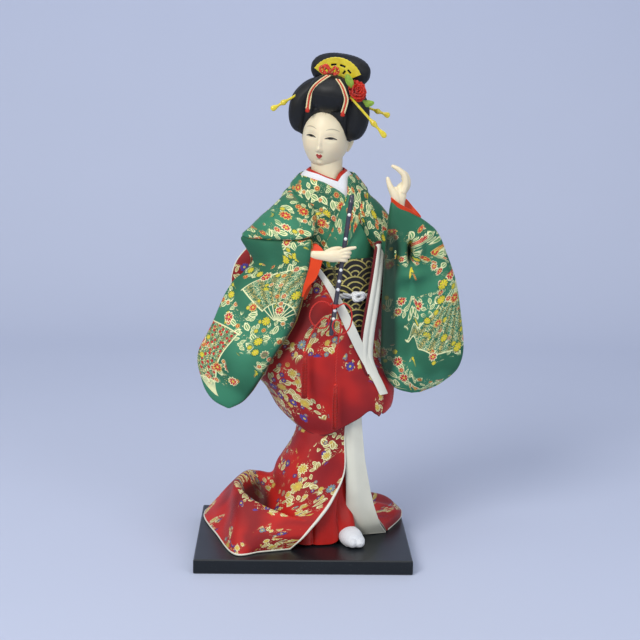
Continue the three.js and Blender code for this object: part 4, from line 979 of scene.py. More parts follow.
def make_stage():
    """A floor that turns up into a backdrop behind the doll, and soft studio light."""
    profile = [(-2.6, 0), (0.9, 0)]
    bend = 0.6
    profile += [(0.9 + bend * math.sin(a), bend - bend * math.cos(a))
                for a in np.linspace(0.1, math.pi / 2, 12)]
    profile += [(0.9 + bend, 2.8)]
    columns = np.linspace(-2.4, 2.4, 5)
    points = [(x, y, z) for y, z in profile for x in columns]
    wide = len(columns)
    faces = [(i * wide + j, i * wide + j + 1, (i + 1) * wide + j + 1, (i + 1) * wide + j)
             for i in range(len(profile) - 1) for j in range(wide - 1)]
    mesh = bpy.data.meshes.new("backdrop")
    mesh.from_pydata(points, [], faces)
    mesh.polygons.foreach_set("use_smooth", np.full(len(faces), True))
    mesh.materials.append(finish["backdrop"])
    sheet = bpy.data.objects.new("backdrop", mesh)
    bpy.context.scene.collection.objects.link(sheet)

    world = bpy.data.worlds.new("studio")
    world.use_nodes = True
    background = world.node_tree.nodes["Background"]
    background.inputs["Color"].default_value = (0.86, 0.9, 1.0, 1)
    background.inputs["Strength"].default_value = 0.42
    bpy.context.scene.world = world
    make_lamp("key", (-1.1, -1.7, 1.5), (0.02, 0, 0.22), 1.0, 34, (1.0, 0.98, 0.95))
    make_lamp("fill", (1.3, -1.5, 0.9), (0.0, 0, 0.2), 1.4, 9, (0.92, 0.95, 1.0))
    make_lamp("backdrop_light", (0, -0.4, 2.2), (0, 1.6, 0.6), 1.8, 16, (0.96, 0.98, 1.0))
    bpy.context.scene.view_settings.view_transform = "Standard"


make_camera()
make_stage()


# The flute and the cord that is tied round it

flute_top, flute_bottom = np.array(FLUTE_TOP), np.array(FLUTE_BOTTOM)
flute_way = unit(flute_top - flute_bottom)
flute_length = float(np.linalg.norm(flute_top - flute_bottom))
FLUTE_STUDS = (0.14, 0.31, 0.53, 0.61, 0.67, 0.82, 0.88)
STUD_RADIUS = 1.5
CORD_RADIUS = 0.65
TIE_SHARE = 0.785
TASSEL_LENGTH = 42.0
TASSEL_HEAD = 4.6
TASSEL_GAP = 0.3


def on_flute(share):
    return flute_top - flute_way * flute_length * share


def make_flute():
    """A lacquered rod with a plug at each end, bindings and white studs."""
    shares = [(0.0, 0.72), (0.004, 0.95), (0.02, 1.0), (0.045, 1.0), (0.05, 1.16), (0.062, 1.16),
              (0.067, 1.0), (0.4, 1.0), (0.7, 1.0), (0.93, 1.0), (0.935, 1.14), (0.95, 1.14), (0.955, 1.0),
              (0.99, 0.98), (1.0, 0.8)]
    path = [on_flute(share) for share, _ in shares]
    rings = tube_grid(path, [FLUTE_RADIUS * size for _, size in shares], 28)
    piece = ringed("flute_rod", rings, finish["flute"], "flute")
    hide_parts("flute")

    front = unit(np.cross(np.cross(flute_way, (0.0, -1.0, 0.0)), flute_way))
    shapes = []
    for share in FLUTE_STUDS:
        centre = on_flute(share) + front * (FLUTE_RADIUS - 0.2)
        shapes.append(ball_points(lambda d: centre + d * STUD_RADIUS, 18, 12))
    points, faces, uv = merged(*shapes)
    studs = mesh_piece("flute_studs", "flute", points, faces, finish["bead"], uv)


tie_centre = on_flute(TIE_SHARE)
KNOT_RADIUS = 1.9
TIE_THICK = 1.2
CLEARANCE = 0.3
knot_centre = tie_centre + (-1.0, -FLUTE_RADIUS - CLEARANCE - TIE_THICK - KNOT_RADIUS - CLEARANCE, -0.5)

# Each hanging cord's route from the knot: a wide loop, a small turn back over it, and down to the tassel
CORD_ROUTES = {
    "left": [
        (-2.9, 0, 0.8), (-7, 0, 4), (-13, 0, 4.5), (-18.6, 0, 0), (-21, 0, -7.5), (-18.6, 0, -14.5),
        (-13, -0.4, -18),
        (-7, -1, -17), (-4.6, -1.6, -11.5), (-8.4, -2.2, -9), (-13.4, -2.3, -13), (-17.6, -1.8, -19.5),
        (-22, -0.8, -29), (-24.6, 0, -38),
    ],
    "right": [
        (2.9, 0, 0.8), (8.5, 0, 3.2), (13.4, 0, -1), (15, 0, -8.5), (13.4, 0, -17), (8.4, -0.2, -22.6),
        (2.4, -0.7, -22.4), (-1.4, -1.4, -17), (0.4, -2.2, -11), (4.8, -2.7, -11.6), (5.6, -2.8, -18),
        (3.8, -2.4, -28), (2.4, -1.4, -45), (2.2, 0, -66),
    ],
}


def make_tie():
    """Three turns of the cord round the flute."""
    side = unit(np.cross(flute_way, (0.0, 1.0, 0.0)))
    rise = np.cross(flute_way, side)
    turns = np.linspace(0, 3 * FULL_TURN, 110)
    radius = FLUTE_RADIUS + CLEARANCE + TIE_THICK / 2
    heights = np.linspace(-1.15, 1.15, len(turns))
    path = [tie_centre + radius * (math.cos(t) * side + math.sin(t) * rise) + h * flute_way
            for t, h in zip(turns, heights)]
    piece = tube("flute_tie", path, TIE_THICK / 2, finish["red_cord"], "flute", 10)
    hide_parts("flute_cord_tie")


def make_knot():
    """A closed knot of the same cord, pulled tight."""
    t = np.linspace(0, FULL_TURN, 120, endpoint=False)
    loop = np.stack([np.sin(t) + 2 * np.sin(2 * t), -np.sin(3 * t) * 0.8, np.cos(t) - 2 * np.cos(2 * t)], 1)
    loop = knot_centre + loop * (0.52, 0.75, 0.46)
    rings = tube_grid(np.concatenate([loop[-2:], loop, loop[:2]]), 0.66, 10)[2:-2]
    rings = np.concatenate([rings, rings[:1]])
    piece = ringed("flute_knot", rings, finish["red_cord"], "flute")
    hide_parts("flute_cord_knot")


def make_tassel(name, top, seed):
    """A wound head with a bead over it, and a skirt of silk strands that spread a little."""
    rng = np.random.default_rng(seed)
    head = [(0.0, 0.5), (-0.5, 1.3), (-1.3, 1.85), (-2.3, 1.7), (-3.1, 1.3), (-3.6, 1.45),
            (-TASSEL_HEAD, 1.6), (-5.6, 1.5)]
    rings = tube_grid([top + (0, 0, z) for z, _ in head], [r for _, r in head], 20, up=(0, 1, 0))
    shapes = [closed_tube(rings)]
    for turn in range(4):
        a = np.linspace(0, FULL_TURN, 24)
        ring = top + np.stack([1.5 * np.cos(a), 1.5 * np.sin(a), np.full(24, -3.0 - 0.42 * turn)], 1)
        shapes.append(closed_tube(tube_grid(ring, 0.24, 6)))
    for _ in range(110):
        a, share = rng.uniform(0, FULL_TURN), math.sqrt(rng.uniform(0.0, 1.0))
        outward = np.array([math.cos(a), math.sin(a), 0])
        start = outward * 1.35 * share
        reach = outward * (2.55 * share)
        sway = rng.normal(0, 0.22, 3) * (1, 1, 0)
        length = TASSEL_LENGTH - rng.uniform(0.0, 1.6)
        steps = np.linspace(0, 1, 8)[:, None]
        path = top + start * (1 - steps) + reach * steps**0.7 + sway * np.sin(steps * math.pi * 1.3)
        path = path - np.array([0, 0, 1]) * (TASSEL_HEAD + (length - TASSEL_HEAD) * steps)
        shapes.append(closed_tube(tube_grid(path, 0.2, 4, up=(0, 1, 0))))
    points, faces, uv = merged(*shapes)
    piece = mesh_piece(name, "flute", points, faces, finish["red_cord"], uv)
    return piece


def make_cords():
    for seed, (side, route) in enumerate(CORD_ROUTES.items()):
        path = evenly(smooth_rows(np.array(route) + knot_centre, 12), 150)
        piece = ringed(f"cord_{side}", tube_grid(path, CORD_RADIUS, 10, up=(0, 1, 0)), finish["red_cord"],
                       "flute")
        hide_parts(f"flute_cord_{side}")
        top = path[-1] - (0, 0, TASSEL_GAP)
        tassel = make_tassel(f"tassel_{side}_strands", top, seed + 5)
        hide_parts(f"tassel_{side}")


make_flute()
make_tie()
make_knot()
make_cords()


# Clothes. Grids run down the cloth in rows and across it in columns, with the front of the cloth facing out

def named_table(pairs, keys):
    """The value at each key, straight between the pairs given."""
    pairs = sorted(pairs)
    return np.interp(keys, [k for k, _ in pairs], [v for _, v in pairs])


def between_edges(top, bottom, rows, out, bulge=0.0):
    """Cloth on the body between two edges, each a row of (angle, height), a little fuller in its middle."""
    share = np.linspace(0, 1, rows)[:, None, None]
    flat = top * (1 - share) + bottom * share
    return round_body(flat[..., 0], flat[..., 1], out + bulge * np.sin(np.pi * share[..., 0]))


ROBE_THICK, BAND_THICK, LAPEL_THICK, LINING_THICK, SASH_THICK = 1.1, 1.2, 1.0, 0.8, 1.8


def piping(name, path, radius, paint):
    return tube(name, path, radius, paint, sides=10)


green = brocade("green brocade", cover=0.62, second_share=0.12, **PRINTS["green"])
red = brocade("red brocade", seed=21.0, cover=0.3, **PRINTS["red"])


def make_stuffing():
    """The stuffed skirt, torso and arms that the clothes hang on."""
    for name, table, low, high in (("skirt_padding", SKIRT, 1.0, SKIRT_TOP),
                                   ("body_core", BODY, SKIRT_TOP + 0.6, BODY_TOP - 1)):
        z = np.linspace(low, high, 30)
        angles = np.arange(360, 0, -8)
        rings = round_body(angles[None, :], z[:, None], -1.5, table)
        rings = rings + unit(rings - rings.mean(1, keepdims=True)) * cloud(rings, 14, 3)[..., None] * 1.2
        piece = ringed(name + "_wool", rings, finish["batting"])
        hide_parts(name)
    arms = {
        "arm_right": [(-6, 3, 294), (-24, -4, 278), (-40, -12, 258), (-20, -28, 259), (-4, -39, 261)],
        "arm_left": [(46, 3, 292), (68, 0, 262), (86, -4, 232), (83, -16, 262), (79, -28, 296)],
    }
    for name, path in arms.items():
        line = smooth_rows(path, 10)
        radii = np.interp(np.linspace(0, 1, len(line)), [0, 0.5, 1], [7.4, 6.6, 4.6])
        radii = radii * (1 + 0.05 * np.sin(np.arange(len(line)) * 1.9))
        piece = tube(name + "_wound", line, radii, finish["batting"], "figure", 18)
        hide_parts(name)


def make_underskirt():
    """Red satin that falls in folds from the obi to the board."""
    share = np.linspace(0, 1, 60)[:, None]
    a = np.linspace(92, -92, 120)[None, :]
    over_foot = bump01((a - 52) / 34)
    hem = 1.4 + 8.5 * over_foot
    z = SKIRT_TOP + (hem - SKIRT_TOP) * share
    fall = ramp(z, 112, 14)
    sway = a + 7 * np.sin(z * 0.03) * fall
    folds = np.abs(np.sin(np.radians(sway * 5.0))) ** 0.55 - 0.62 + np.sin(np.radians(sway * 11) + 1.9) * 0.2
    out = 1.2 + fall * (2.8 + 6.4 * folds) + over_foot * 6.5 * ramp(z, 40, 12)
    grid = round_body(a + 4 * fall * np.sin(np.radians(a * 3)), z, out, SKIRT)
    piece = cloth("underskirt", grid, LINING_THICK, finish["satin"])
    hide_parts("satin_underskirt")


TRAIN = [
    [(35.5, -31, 98), (20, -34.5, 97), (3, -29, 97), (-7, -11, 97), (-5, 12, 95), (6, 26, 95), (26, 31, 95),
     (43, 24, 95), (49.5, 8, 95), (47.5, -14, 95)],
    [(35.5, -33, 67), (14, -38, 66), (-7, -32, 62), (-19, -12, 62), (-23, 8, 66), (-12, 31, 62), (22, 40, 60),
     (46, 32, 62), (54.5, 12, 64), (52, -12, 68)],
    [(24.6, -40, 43), (4, -42, 42), (-14, -35, 40), (-24, -13, 38), (-28, 10, 50.5), (-22, 36, 45),
     (22, 48, 42), (50, 38, 36), (57, 16, 36), (55, -8, 38)],
    [(14.6, -45, 29.5), (-6, -42.5, 27), (-27, -31, 18), (-38, -11, 15), (-40, 13, 50), (-40, 36, 40),
     (18, 58, 28), (54, 48, 23), (63, 22, 23), (60, -6, 25)],
    [(7, -47.6, 20.5), (-14, -45, 29), (-44, -36, 40.5), (-59.5, -15, 50), (-53, 10, 53), (-55, 34, 36),
     (6, 64, 19), (70, 60, 15), (84, 30, 15), (67, -6, 16)],
    [(-1.5, -50, 11), (-27, -52.5, 15.5), (-57, -50, 19), (-67, -17, 24), (-75, 22, 25), (-68, 58, 14),
     (4, 69, 8.5), (76, 67, 7.5), (92, 35, 9.5), (73, -7, 9)],
    [(-11.5, -48.6, 1.2), (-37, -56, 1.2), (-59.5, -62.5, 1.2), (-77, -14, 1.2), (-92, 42.5, 1.2),
     (-75, 70, 1.2), (0, 71, 1.2), (83, 70, 1.2), (94.5, 45, 1.2), (77, 0, 1.2)],
]


def make_train():
    """The lower robe: it falls to the board, turns up in a lip on one side, and spreads as a train."""
    waist = round_body(np.array([22, -8, -42, -75, -105, -135, -170, -215, -260, -290.0]), 124.0, 2.4, SKIRT)
    grid = smooth_grid([waist.tolist()] + TRAIN, 16, 14)
    low = ramp(grid[..., 2], 70, 10) * ramp(grid[..., 2], 0.5, 6)
    ripple = cloud(grid, 26, 5) * 1.3 + cloud(grid, 11, 6) * 0.35
    share = np.linspace(0, 1, grid.shape[1])[None, :]
    back = ramp(share, 0.42, 0.55) * ramp(share, 0.97, 0.88)
    pleats = back * np.sin(share * 2 * np.pi * 9) * 2.2
    pleats = pleats * ramp(grid[..., 2], 118, 30) * ramp(grid[..., 2], 0.5, 12)
    grid = pushed(grid, -ripple * low - pleats)
    grid[..., 2] = np.maximum(grid[..., 2], 1.0)
    x, y, z = np.moveaxis(grid, -1, 0)
    # Painted shade: the inner wall in the mouth under the lip is darkened as if in shadow
    mouth = bump01(np.hypot((x + 45) / 23, (z - 29) / 25))
    mouth = mouth * ramp(y, -37, -27) * ramp(y, 20, 12) * ramp(z, 50.5, 45)
    lip = bump01((np.linspace(0, 7, len(grid))[:, None] - 4.95) / 0.34) * ramp(x, -8, -24) * (y < 14)
    motifs = (lip * 1.2 + bump01(np.hypot((x + 30) / 34, (z - 8) / 10)) * 0.7
              + bump01(np.hypot((x - 4) / 20, (z - 36) / 12))
              - bump01(np.hypot((x + 35) / 40, (z - 26) / 12)) * 0.8)
    marks = {"motifs": motifs[:, ::-1], "painted_shade": np.clip(mouth * 2.2, 0, 0.93)[:, ::-1]}
    piece = cloth("train", grid[:, ::-1], ROBE_THICK, red, finish["lining"], finish["band"], marks=marks)
    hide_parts("robe_train")
    hem = piping("train_hem", grid[-1, :-2], 0.95, finish["band"])
    front = grid[:, 0]
    size = 0.7 + 0.75 * bump01((front[:, 2] - 34) / 40)
    edge = tube("train_edge", front - (0, 0.25, 0), size, finish["band"], "figure", 10)


def make_panel():
    """The front panel of the lower robe, turned so that its off-white lining shows."""
    rows = [
        [(35.6, -28.8, 124), (42, -29.5, 124), (49, -26, 124)],
        [(36.2, -30, 102), (43.5, -31, 102), (50.6, -26, 102)],
        [(37, -29.5, 78), (45, -31, 78), (53.2, -25, 78)],
        [(38.4, -26.5, 52), (48, -29.5, 52), (57.8, -22, 52)],
        [(38.8, -23, 38), (50, -27, 38), (61, -20, 38.5)],
        [(39.6, -19.5, 26), (53, -23, 26), (64.3, -17.8, 26.5)],
        [(44, -11, 12), (57, -16.5, 12), (69.4, -12.5, 13)],
        [(50, -3, 1.2), (62, -8, 1.2), (75.6, -1.5, 1.2)],
    ]
    grid = smooth_grid(rows, 12, 22)
    share = np.linspace(0, 1, grid.shape[1])[None, :]
    grid = pushed(grid, np.sin(share * np.pi * 2.2 + 0.8) * 0.8 * ramp(grid[..., 2], 124, 40)
                  + cloud(grid, 18, 9) * 0.5)
    piece = cloth("lining_panel", grid, ROBE_THICK, finish["lining"], red, finish["band"])
    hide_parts("robe_lining_panel")
    edge = piping("lining_panel_edge", grid[:, -1], 0.75, finish["band"])
    hem = piping("lining_panel_hem", grid[-1], 0.7, finish["band"])


# Outer robe: angles of its two front edges by height, and its top and hem from the front edge round the back

ROBE_EDGE = [(252, -21), (229, -3), (206, 12.5), (185, 28.5), (169, 40.5), (150, 46), (135, 49.5)]
ROBE_END = [(272, -300), (229, -317), (194, -321), (160, -318), (135, -312)]
ROBE_SHARES = [0, 0.025, 0.05, 0.1, 0.2, 0.3, 0.42, 0.55, 0.68, 0.8, 0.9, 0.955, 1]
ROBE_TOPS = [252, 251.7, 251.5, 251, 250, 250, 250, 251, 252, 253, 260, 266, 272]
ROBE_HEMS = [117, 120.5, 123.5, 112.5, 101, 108, 130, 124, 118, 118, 120.5, 117, 124]
ROBE_OUT = 3.4


def on_robe(angle, z, out):
    return round_body(angle, z, out, ROBE)


def make_outer_robe():
    """The red brocade cloth round the hips, from its front edge round the back to the tall turned fold."""
    shares = np.linspace(0, 1, 190)[None, :]
    tops, hems = (np.interp(shares, smooth_list(ROBE_SHARES, 12), smooth_list(heights, 12))
                  for heights in (ROBE_TOPS, ROBE_HEMS))
    t = np.linspace(0, 1, 90)[:, None]
    z = tops + (hems - tops) * t
    edge, end = named_table(ROBE_EDGE, z), named_table(ROBE_END, z)
    angle = edge + (end - edge) * shares
    gathers = np.sin(shares * 2 * np.pi * 8.3) * 1.1 + np.sin(shares * 2 * np.pi * 3.1 + 1) * 1.4
    loose = ramp(t, 0.15, 0.95)
    gathered = (1.2 + gathers) * loose * ramp(shares, 0.03, 0.2) * ramp(shares, 1.0, 0.85)
    out = ROBE_OUT * (1 - shares) + gathered
    grid = on_robe(angle, z, out)
    grid = pushed(grid, -cloud(grid, 20, 12) * 0.8 * loose)
    x, y, z = np.moveaxis(grid, -1, 0)
    front = y < 4
    motifs = (bump01(np.hypot((x + 22) / 26, (z - 140) / 40)) * 0.8
              + bump01(np.hypot((x - 15) / 22, (z - 192) / 26)) * 0.9
              - bump01(np.hypot((x - 36) / 34, (z - 132) / 44)) * 1.6)
    # Painted shade: two broad patches darkened towards maroon, high in front under the flute's cords and
    # lower on the doll's right, where shadow falls
    painted_shade = (bump01(np.hypot((x - 2) / 30, (z - 215) / 50)) * 0.62
             + bump01(np.hypot((x + 25) / 32, (z - 160) / 50)) * 0.42)
    marks = {"motifs": (motifs * front)[:, ::-1], "painted_shade": np.clip(painted_shade * front, 0, 0.6)[:, ::-1]}
    piece = cloth("robe", grid[:, ::-1], ROBE_THICK, red, finish["dark_lining"], finish["piping"],
                  marks=marks)
    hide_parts("outer_robe")
    hem = piping("robe_hem", grid[-1], 0.6, finish["dark_lining"])


def make_band():
    """The white front band that crosses the robe from under the right hand to its cut end."""
    heights = [252, 229, 206, 185, 169, 150, 137]
    widths = [4, 6, 8, 9, 10, 10, 10]
    band_out = ROBE_OUT + BAND_THICK / 2 + 0.7
    rows = []
    for z, width in zip(heights, widths):
        wide = math.degrees(width / sections_at(z, ROBE)[2])
        edge = named_table(ROBE_EDGE, z)
        rows.append([on_robe(edge + wide * (share - 0.45), z, band_out) for share in (0.0, 0.5, 1.0)])
    grid = smooth_grid(rows, 14, 9)
    share = np.linspace(-1, 1, grid.shape[1])[None, :]
    grid = pushed(grid, 0.5 * (1 - share**2))
    piece = cloth("robe_band", grid, BAND_THICK, finish["band"])
    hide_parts("outer_robe_band")


def make_facing():
    """The tall turned fold at the obi's side: two rolls of white lining with a dark red rim."""
    heights = [271, 262, 240, 215, 190, 170, 156]
    rows = []
    for k, z in enumerate(heights):
        width = 13 if k else 11
        wide = math.degrees(width / sections_at(z, ROBE)[2])
        end = named_table(ROBE_END, z)
        rows.append([on_robe(end + wide * (share - 0.3), z, 3.6) for share in (0.0, 0.25, 0.5, 0.75, 1.0)])
    grid = smooth_grid(rows, 16, 9)
    share = np.linspace(0, 1, grid.shape[1])[None, :]
    down = np.linspace(0, 1, len(grid))[:, None]
    grid[..., 2] -= (1 - down) ** 8 * 5 * (2 * share - 1) ** 2
    rolls = 1.8 * np.abs(np.sin(share * np.pi * 2)) ** 0.6
    grid = pushed(grid, rolls)
    piece = cloth("robe_facing", grid, ROBE_THICK, finish["band"], red)
    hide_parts("outer_robe_facing")
    rim_path = np.concatenate([grid[::-1, 0], grid[0, 1:-1], grid[:, -1]])
    rim = piping("robe_facing_rim", rim_path, 1.5, finish["dark_lining"])
    groove = grid[3:, grid.shape[1] // 2]
    seam = piping("robe_facing_seam", groove, 0.45, finish["piping"])


def make_fold():
    """The robe's fold that shows behind the right sleeve."""
    rows = [
        [(-34, -4, 263), (-43, -3, 266), (-52, -1, 262)],
        [(-34, -3, 250), (-49, -3, 251), (-62.4, 0, 248)],
        [(-34, -2, 234), (-51, -1, 232), (-66, 2, 229)],
        [(-34, 0, 214), (-49, 4, 210), (-60, 6, 206)],
    ]
    grid = smooth_grid(rows, 12, 14)[:, ::-1]
    piece = cloth("robe_fold", grid, ROBE_THICK, red, red, finish["band"])
    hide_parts("outer_robe_fold")
    edge = piping("robe_fold_edge", np.concatenate([grid[::-1, 0], grid[0]]), 0.7, finish["band"])


# Kimono bodice, its lapels and the collars under it, each edge by angle and height

BODICE_TOP = [(18, 303), (-18, 311), (-50, 321), (-85, 326), (-130, 327), (-180, 328), (-230, 327),
              (-275, 324), (-310, 317), (-336, 305)]
LAPEL_RIGHT = ([(-150, 329.5), (-85, 326.6), (-50, 325.6), (-24, 323.6), (-3, 320.6), (15, 315), (26, 307.4),
                (32, 298), (33, 289)],
               [(-150, 321), (-88, 318), (-56, 314), (-30, 307), (-12, 299), (3, 291), (12, 285), (16, 281.5),
                (19, 279)])
LAPEL_LEFT = ([(-152, 329.5), (-215, 328.5), (-275, 328), (-300, 327.5), (-318, 325), (-336, 309.5),
               (-353, 286), (-370, 266), (-380, 249.3)],
              [(-152, 321), (-215, 318), (-270, 316), (-297, 311), (-309, 300.5), (-321, 288), (-334.5, 274),
               (-346, 262), (-354.7, 249.3)])
COLLAR_WHITE = ([(27, 320.8), (4, 324.2), (-28, 328.2), (-75, 330), (-120, 331), (-180, 331.5), (-240, 331),
                 (-290, 330), (-322, 327), (-340, 321.4)],
                [(40, 303), (14, 305.5), (-20, 314), (-60, 322), (-120, 322), (-180, 322.5), (-240, 322),
                 (-290, 319), (-316, 311), (-331, 303)])
COLLAR_RED = ([(26, 322.4), (4, 325.4), (-30, 329.4), (-75, 332), (-120, 332.5), (-180, 333), (-240, 332.5),
               (-290, 331.6), (-325, 329), (-342, 323.6)],
              [(26, 316), (6, 319), (-32, 323), (-75, 327), (-120, 326), (-180, 326.5), (-240, 326),
               (-290, 325), (-327, 321), (-340, 316)])


def make_bodice():
    """The kimono's body, closed round the torso from the collar to under the obi."""
    first_angle, first_height = BODICE_TOP[0]
    top = smooth_rows(BODICE_TOP + [(first_angle - 360, first_height)], 14)
    bottom = np.stack([top[:, 0], np.full(len(top), OBI_BOTTOM - 1.0)], 1)
    grid = between_edges(top, bottom, 70, KIMONO_OUT)
    loose = bump01((grid[..., 2] - 268) / 30)
    grid = pushed(grid, -loose * (cloud(grid, 16, 31) * 0.9 + 0.5), ring=True)
    plain = -ramp(grid[..., 0], 14, 24) * ramp(grid[..., 1], 6, -4) * ramp(grid[..., 2], 318, 308)
    piece = cloth("bodice", grid[:, ::-1], ROBE_THICK, green, finish["cuff"], ring=True,
                  marks={"motifs": plain[:, ::-1]})
    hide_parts("kimono_bodice")


def make_edge_cloth(name, node, edges, out, thickness, paint):
    top, bottom = (smooth_rows(edge if edge[0][0] < edge[-1][0] else edge[::-1], 12) for edge in edges)
    grid = between_edges(top, bottom, 16, out, bulge=0.5)
    piece = cloth(name, grid, thickness, paint)
    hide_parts(node)


def make_collars():
    """The lapels and, under them, the white and the red collar."""
    for side, edges, out in (("right", LAPEL_RIGHT, LAPEL_OUT), ("left", LAPEL_LEFT, LAPEL_OUT + 1.5)):
        make_edge_cloth(f"lapel_{side}_band", f"lapel_{side}", edges, out, LAPEL_THICK, green)
    for tint, edges, out, thickness, paint in (("white", COLLAR_WHITE, 1.7, 0.9, "collar"),
                                               ("red", COLLAR_RED, 0.5, 0.8, "red_collar")):
        make_edge_cloth(f"collar_{tint}_band", f"under_collar_{tint}", edges, out, thickness, finish[paint])


OBI_STANDS_UP = 7.0
OBI_CORD_LIFT = 3.5


def make_obi():
    """A stiff sash wound round the body, its twisted cord and the cord's knot."""
    angles = np.arange(-360, 1, 4.0)
    z = np.linspace(OBI_TOP + OBI_STANDS_UP, OBI_BOTTOM, 40)[:, None]
    crown = 0.9 * np.abs(np.sin(np.linspace(0, np.pi, 40)))[:, None] ** 0.4
    folds = 0.25 * np.sin(np.linspace(0, np.pi * 6, 40))[:, None]
    grid = round_body(angles[None, :], z, OBI_FACE - 1.6 + crown + folds)
    piece = cloth("sash", grid, SASH_THICK, finish["obi"], ring=True)
    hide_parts("obi")
    turn = np.arange(0, 361, 4.0)
    ring = round_body(turn, OBI_CORD_HEIGHT + OBI_CORD_LIFT * np.cos(np.radians(turn)), OBI_FACE + 1.8)
    rings = tube_grid(ring, 2.1, 14)
    rings[-1] = rings[0]
    cord = ringed("sash_cord", rings, finish["silk_cord"])
    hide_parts("obi_cord")
    make_obi_knot()


def make_obi_knot():
    """The cord's flat knot, with both ends tucked back along the sash."""
    centre = round_body(23.0, OBI_CORD_HEIGHT + OBI_CORD_LIFT, OBI_FACE + 1.2 + 2.8 + 2.3)
    out = unit(np.array([math.sin(math.radians(28)), -math.cos(math.radians(28)), 0]))
    side = np.array([-out[1], out[0], 0])
    t = np.linspace(0, FULL_TURN, 90)
    shapes = []
    for tilt, wide, tall, depth in ((0.5, 5.0, 2.7, 0.6), (-0.5, 5.0, 2.7, -0.6)):
        loop = (np.outer(np.cos(t) * wide, side) + np.outer(np.sin(t) * tall, (0, 0, 1))
                + np.outer(np.cos(t) * tall * tilt, (0, 0, 1)) + np.outer(np.sin(2 * t) * 0.8 + depth, out))
        shapes.append(closed_tube(tube_grid(centre + loop, 1.6, 10)))
    ends = [
        [centre - side * 3, centre - side * 8 + (0, 0, 1.6) - out * 2.2,
         centre - side * 13 + (0, 0, 2.6) - out * 4.6],
        [centre + side * 3, centre + side * 6 + (0, 0, -1) - out * 1.4,
         centre + side * 9.5 + (0, 0, -2) - out * 3.6],
    ]
    for end in ends:
        shapes.append(closed_tube(tube_grid(smooth_rows(end, 10), 1.2, 10)))
    points, faces, uv = merged(*shapes)
    knot = mesh_piece("sash_knot", "figure", points, faces, finish["silk_cord"], uv)
    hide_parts("obi_cord_knot")


make_stuffing()
make_underskirt()
make_train()
make_panel()
make_outer_robe()
make_band()
make_facing()
make_fold()
make_bodice()
make_collars()
make_obi()


# Sleeves. Each bag is one cloth that runs down its front wall, round its outer fold and up its back wall

def print_spot(grid, uv, x, z):
    """Millimetres of cloth at the grid's front point nearest to a place seen from the front."""
    front = grid[..., 1] < grid[..., 1].mean() + 4
    far = np.hypot(grid[..., 0] - x, grid[..., 2] - z) + np.where(front, 0, 1000)
    i, j = np.unravel_index(np.argmin(far), far.shape)
    return uv[i, j] * 100


def hills(grid, spots):
    """Heights over a grid, from hills seen from the front: x, z, half width, half height, rise."""
    total = np.zeros(grid.shape[:2])
    front = grid[..., 1] < grid[..., 1].mean() + 6
    for x, z, wide, tall, height in spots:
        total += height * bump01(np.hypot((grid[..., 0] - x) / wide, (grid[..., 2] - z) / tall))
    return total * front


def bag_grid(left, right, deep, down, columns, fold, gap_share=0.0):
    """Rows from rails: front wall from right to left, the fold, and the back wall to the right again."""
    left, right = smooth_rows(left, down), smooth_rows(right, down)
    deep = smooth_list(deep, down)
    t = np.linspace(0, 1, columns)
    rows = []
    for a, b, thick in zip(left, right, deep):
        chord = a - b
        out = unit(np.array([chord[1], -chord[0], 0.0]))
        if out[1] > 0:
            out = -out
        turn = np.pi * (gap_share + (2 - 2 * gap_share) * t)
        along = (1 - np.cos(turn)) / 2
        across = np.sign(np.sin(turn)) * np.abs(np.sin(turn)) ** fold
        skew = 1 - 0.25 * (along - 0.5)
        rows.append(b + np.outer(along, chord) + np.outer(across * skew * thick / 2, out))
    return np.array(rows)


def make_bag(name, node, grid, fans, seed, ring, marks):
    """A sleeve's bag and its brocade, with each fan's pivot at a place seen from the front."""
    uv = grid_uv(grid)
    spots = []
    for x, z, heading, inner, outer, spread, flowered in fans:
        u, v = print_spot(grid, uv, x, z)
        spots.append((float(u), float(v), heading, inner, outer, spread, flowered))
    paint = brocade(name + " brocade", fans=spots, seed=seed, cover=0.42, second_share=0.4, **PRINTS["green"])
    piece = cloth(name, grid, ROBE_THICK, paint, finish["cuff"], finish["piping"], ring=ring, uv=uv,
                  marks=marks)
    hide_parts(node)
    return piece, paint


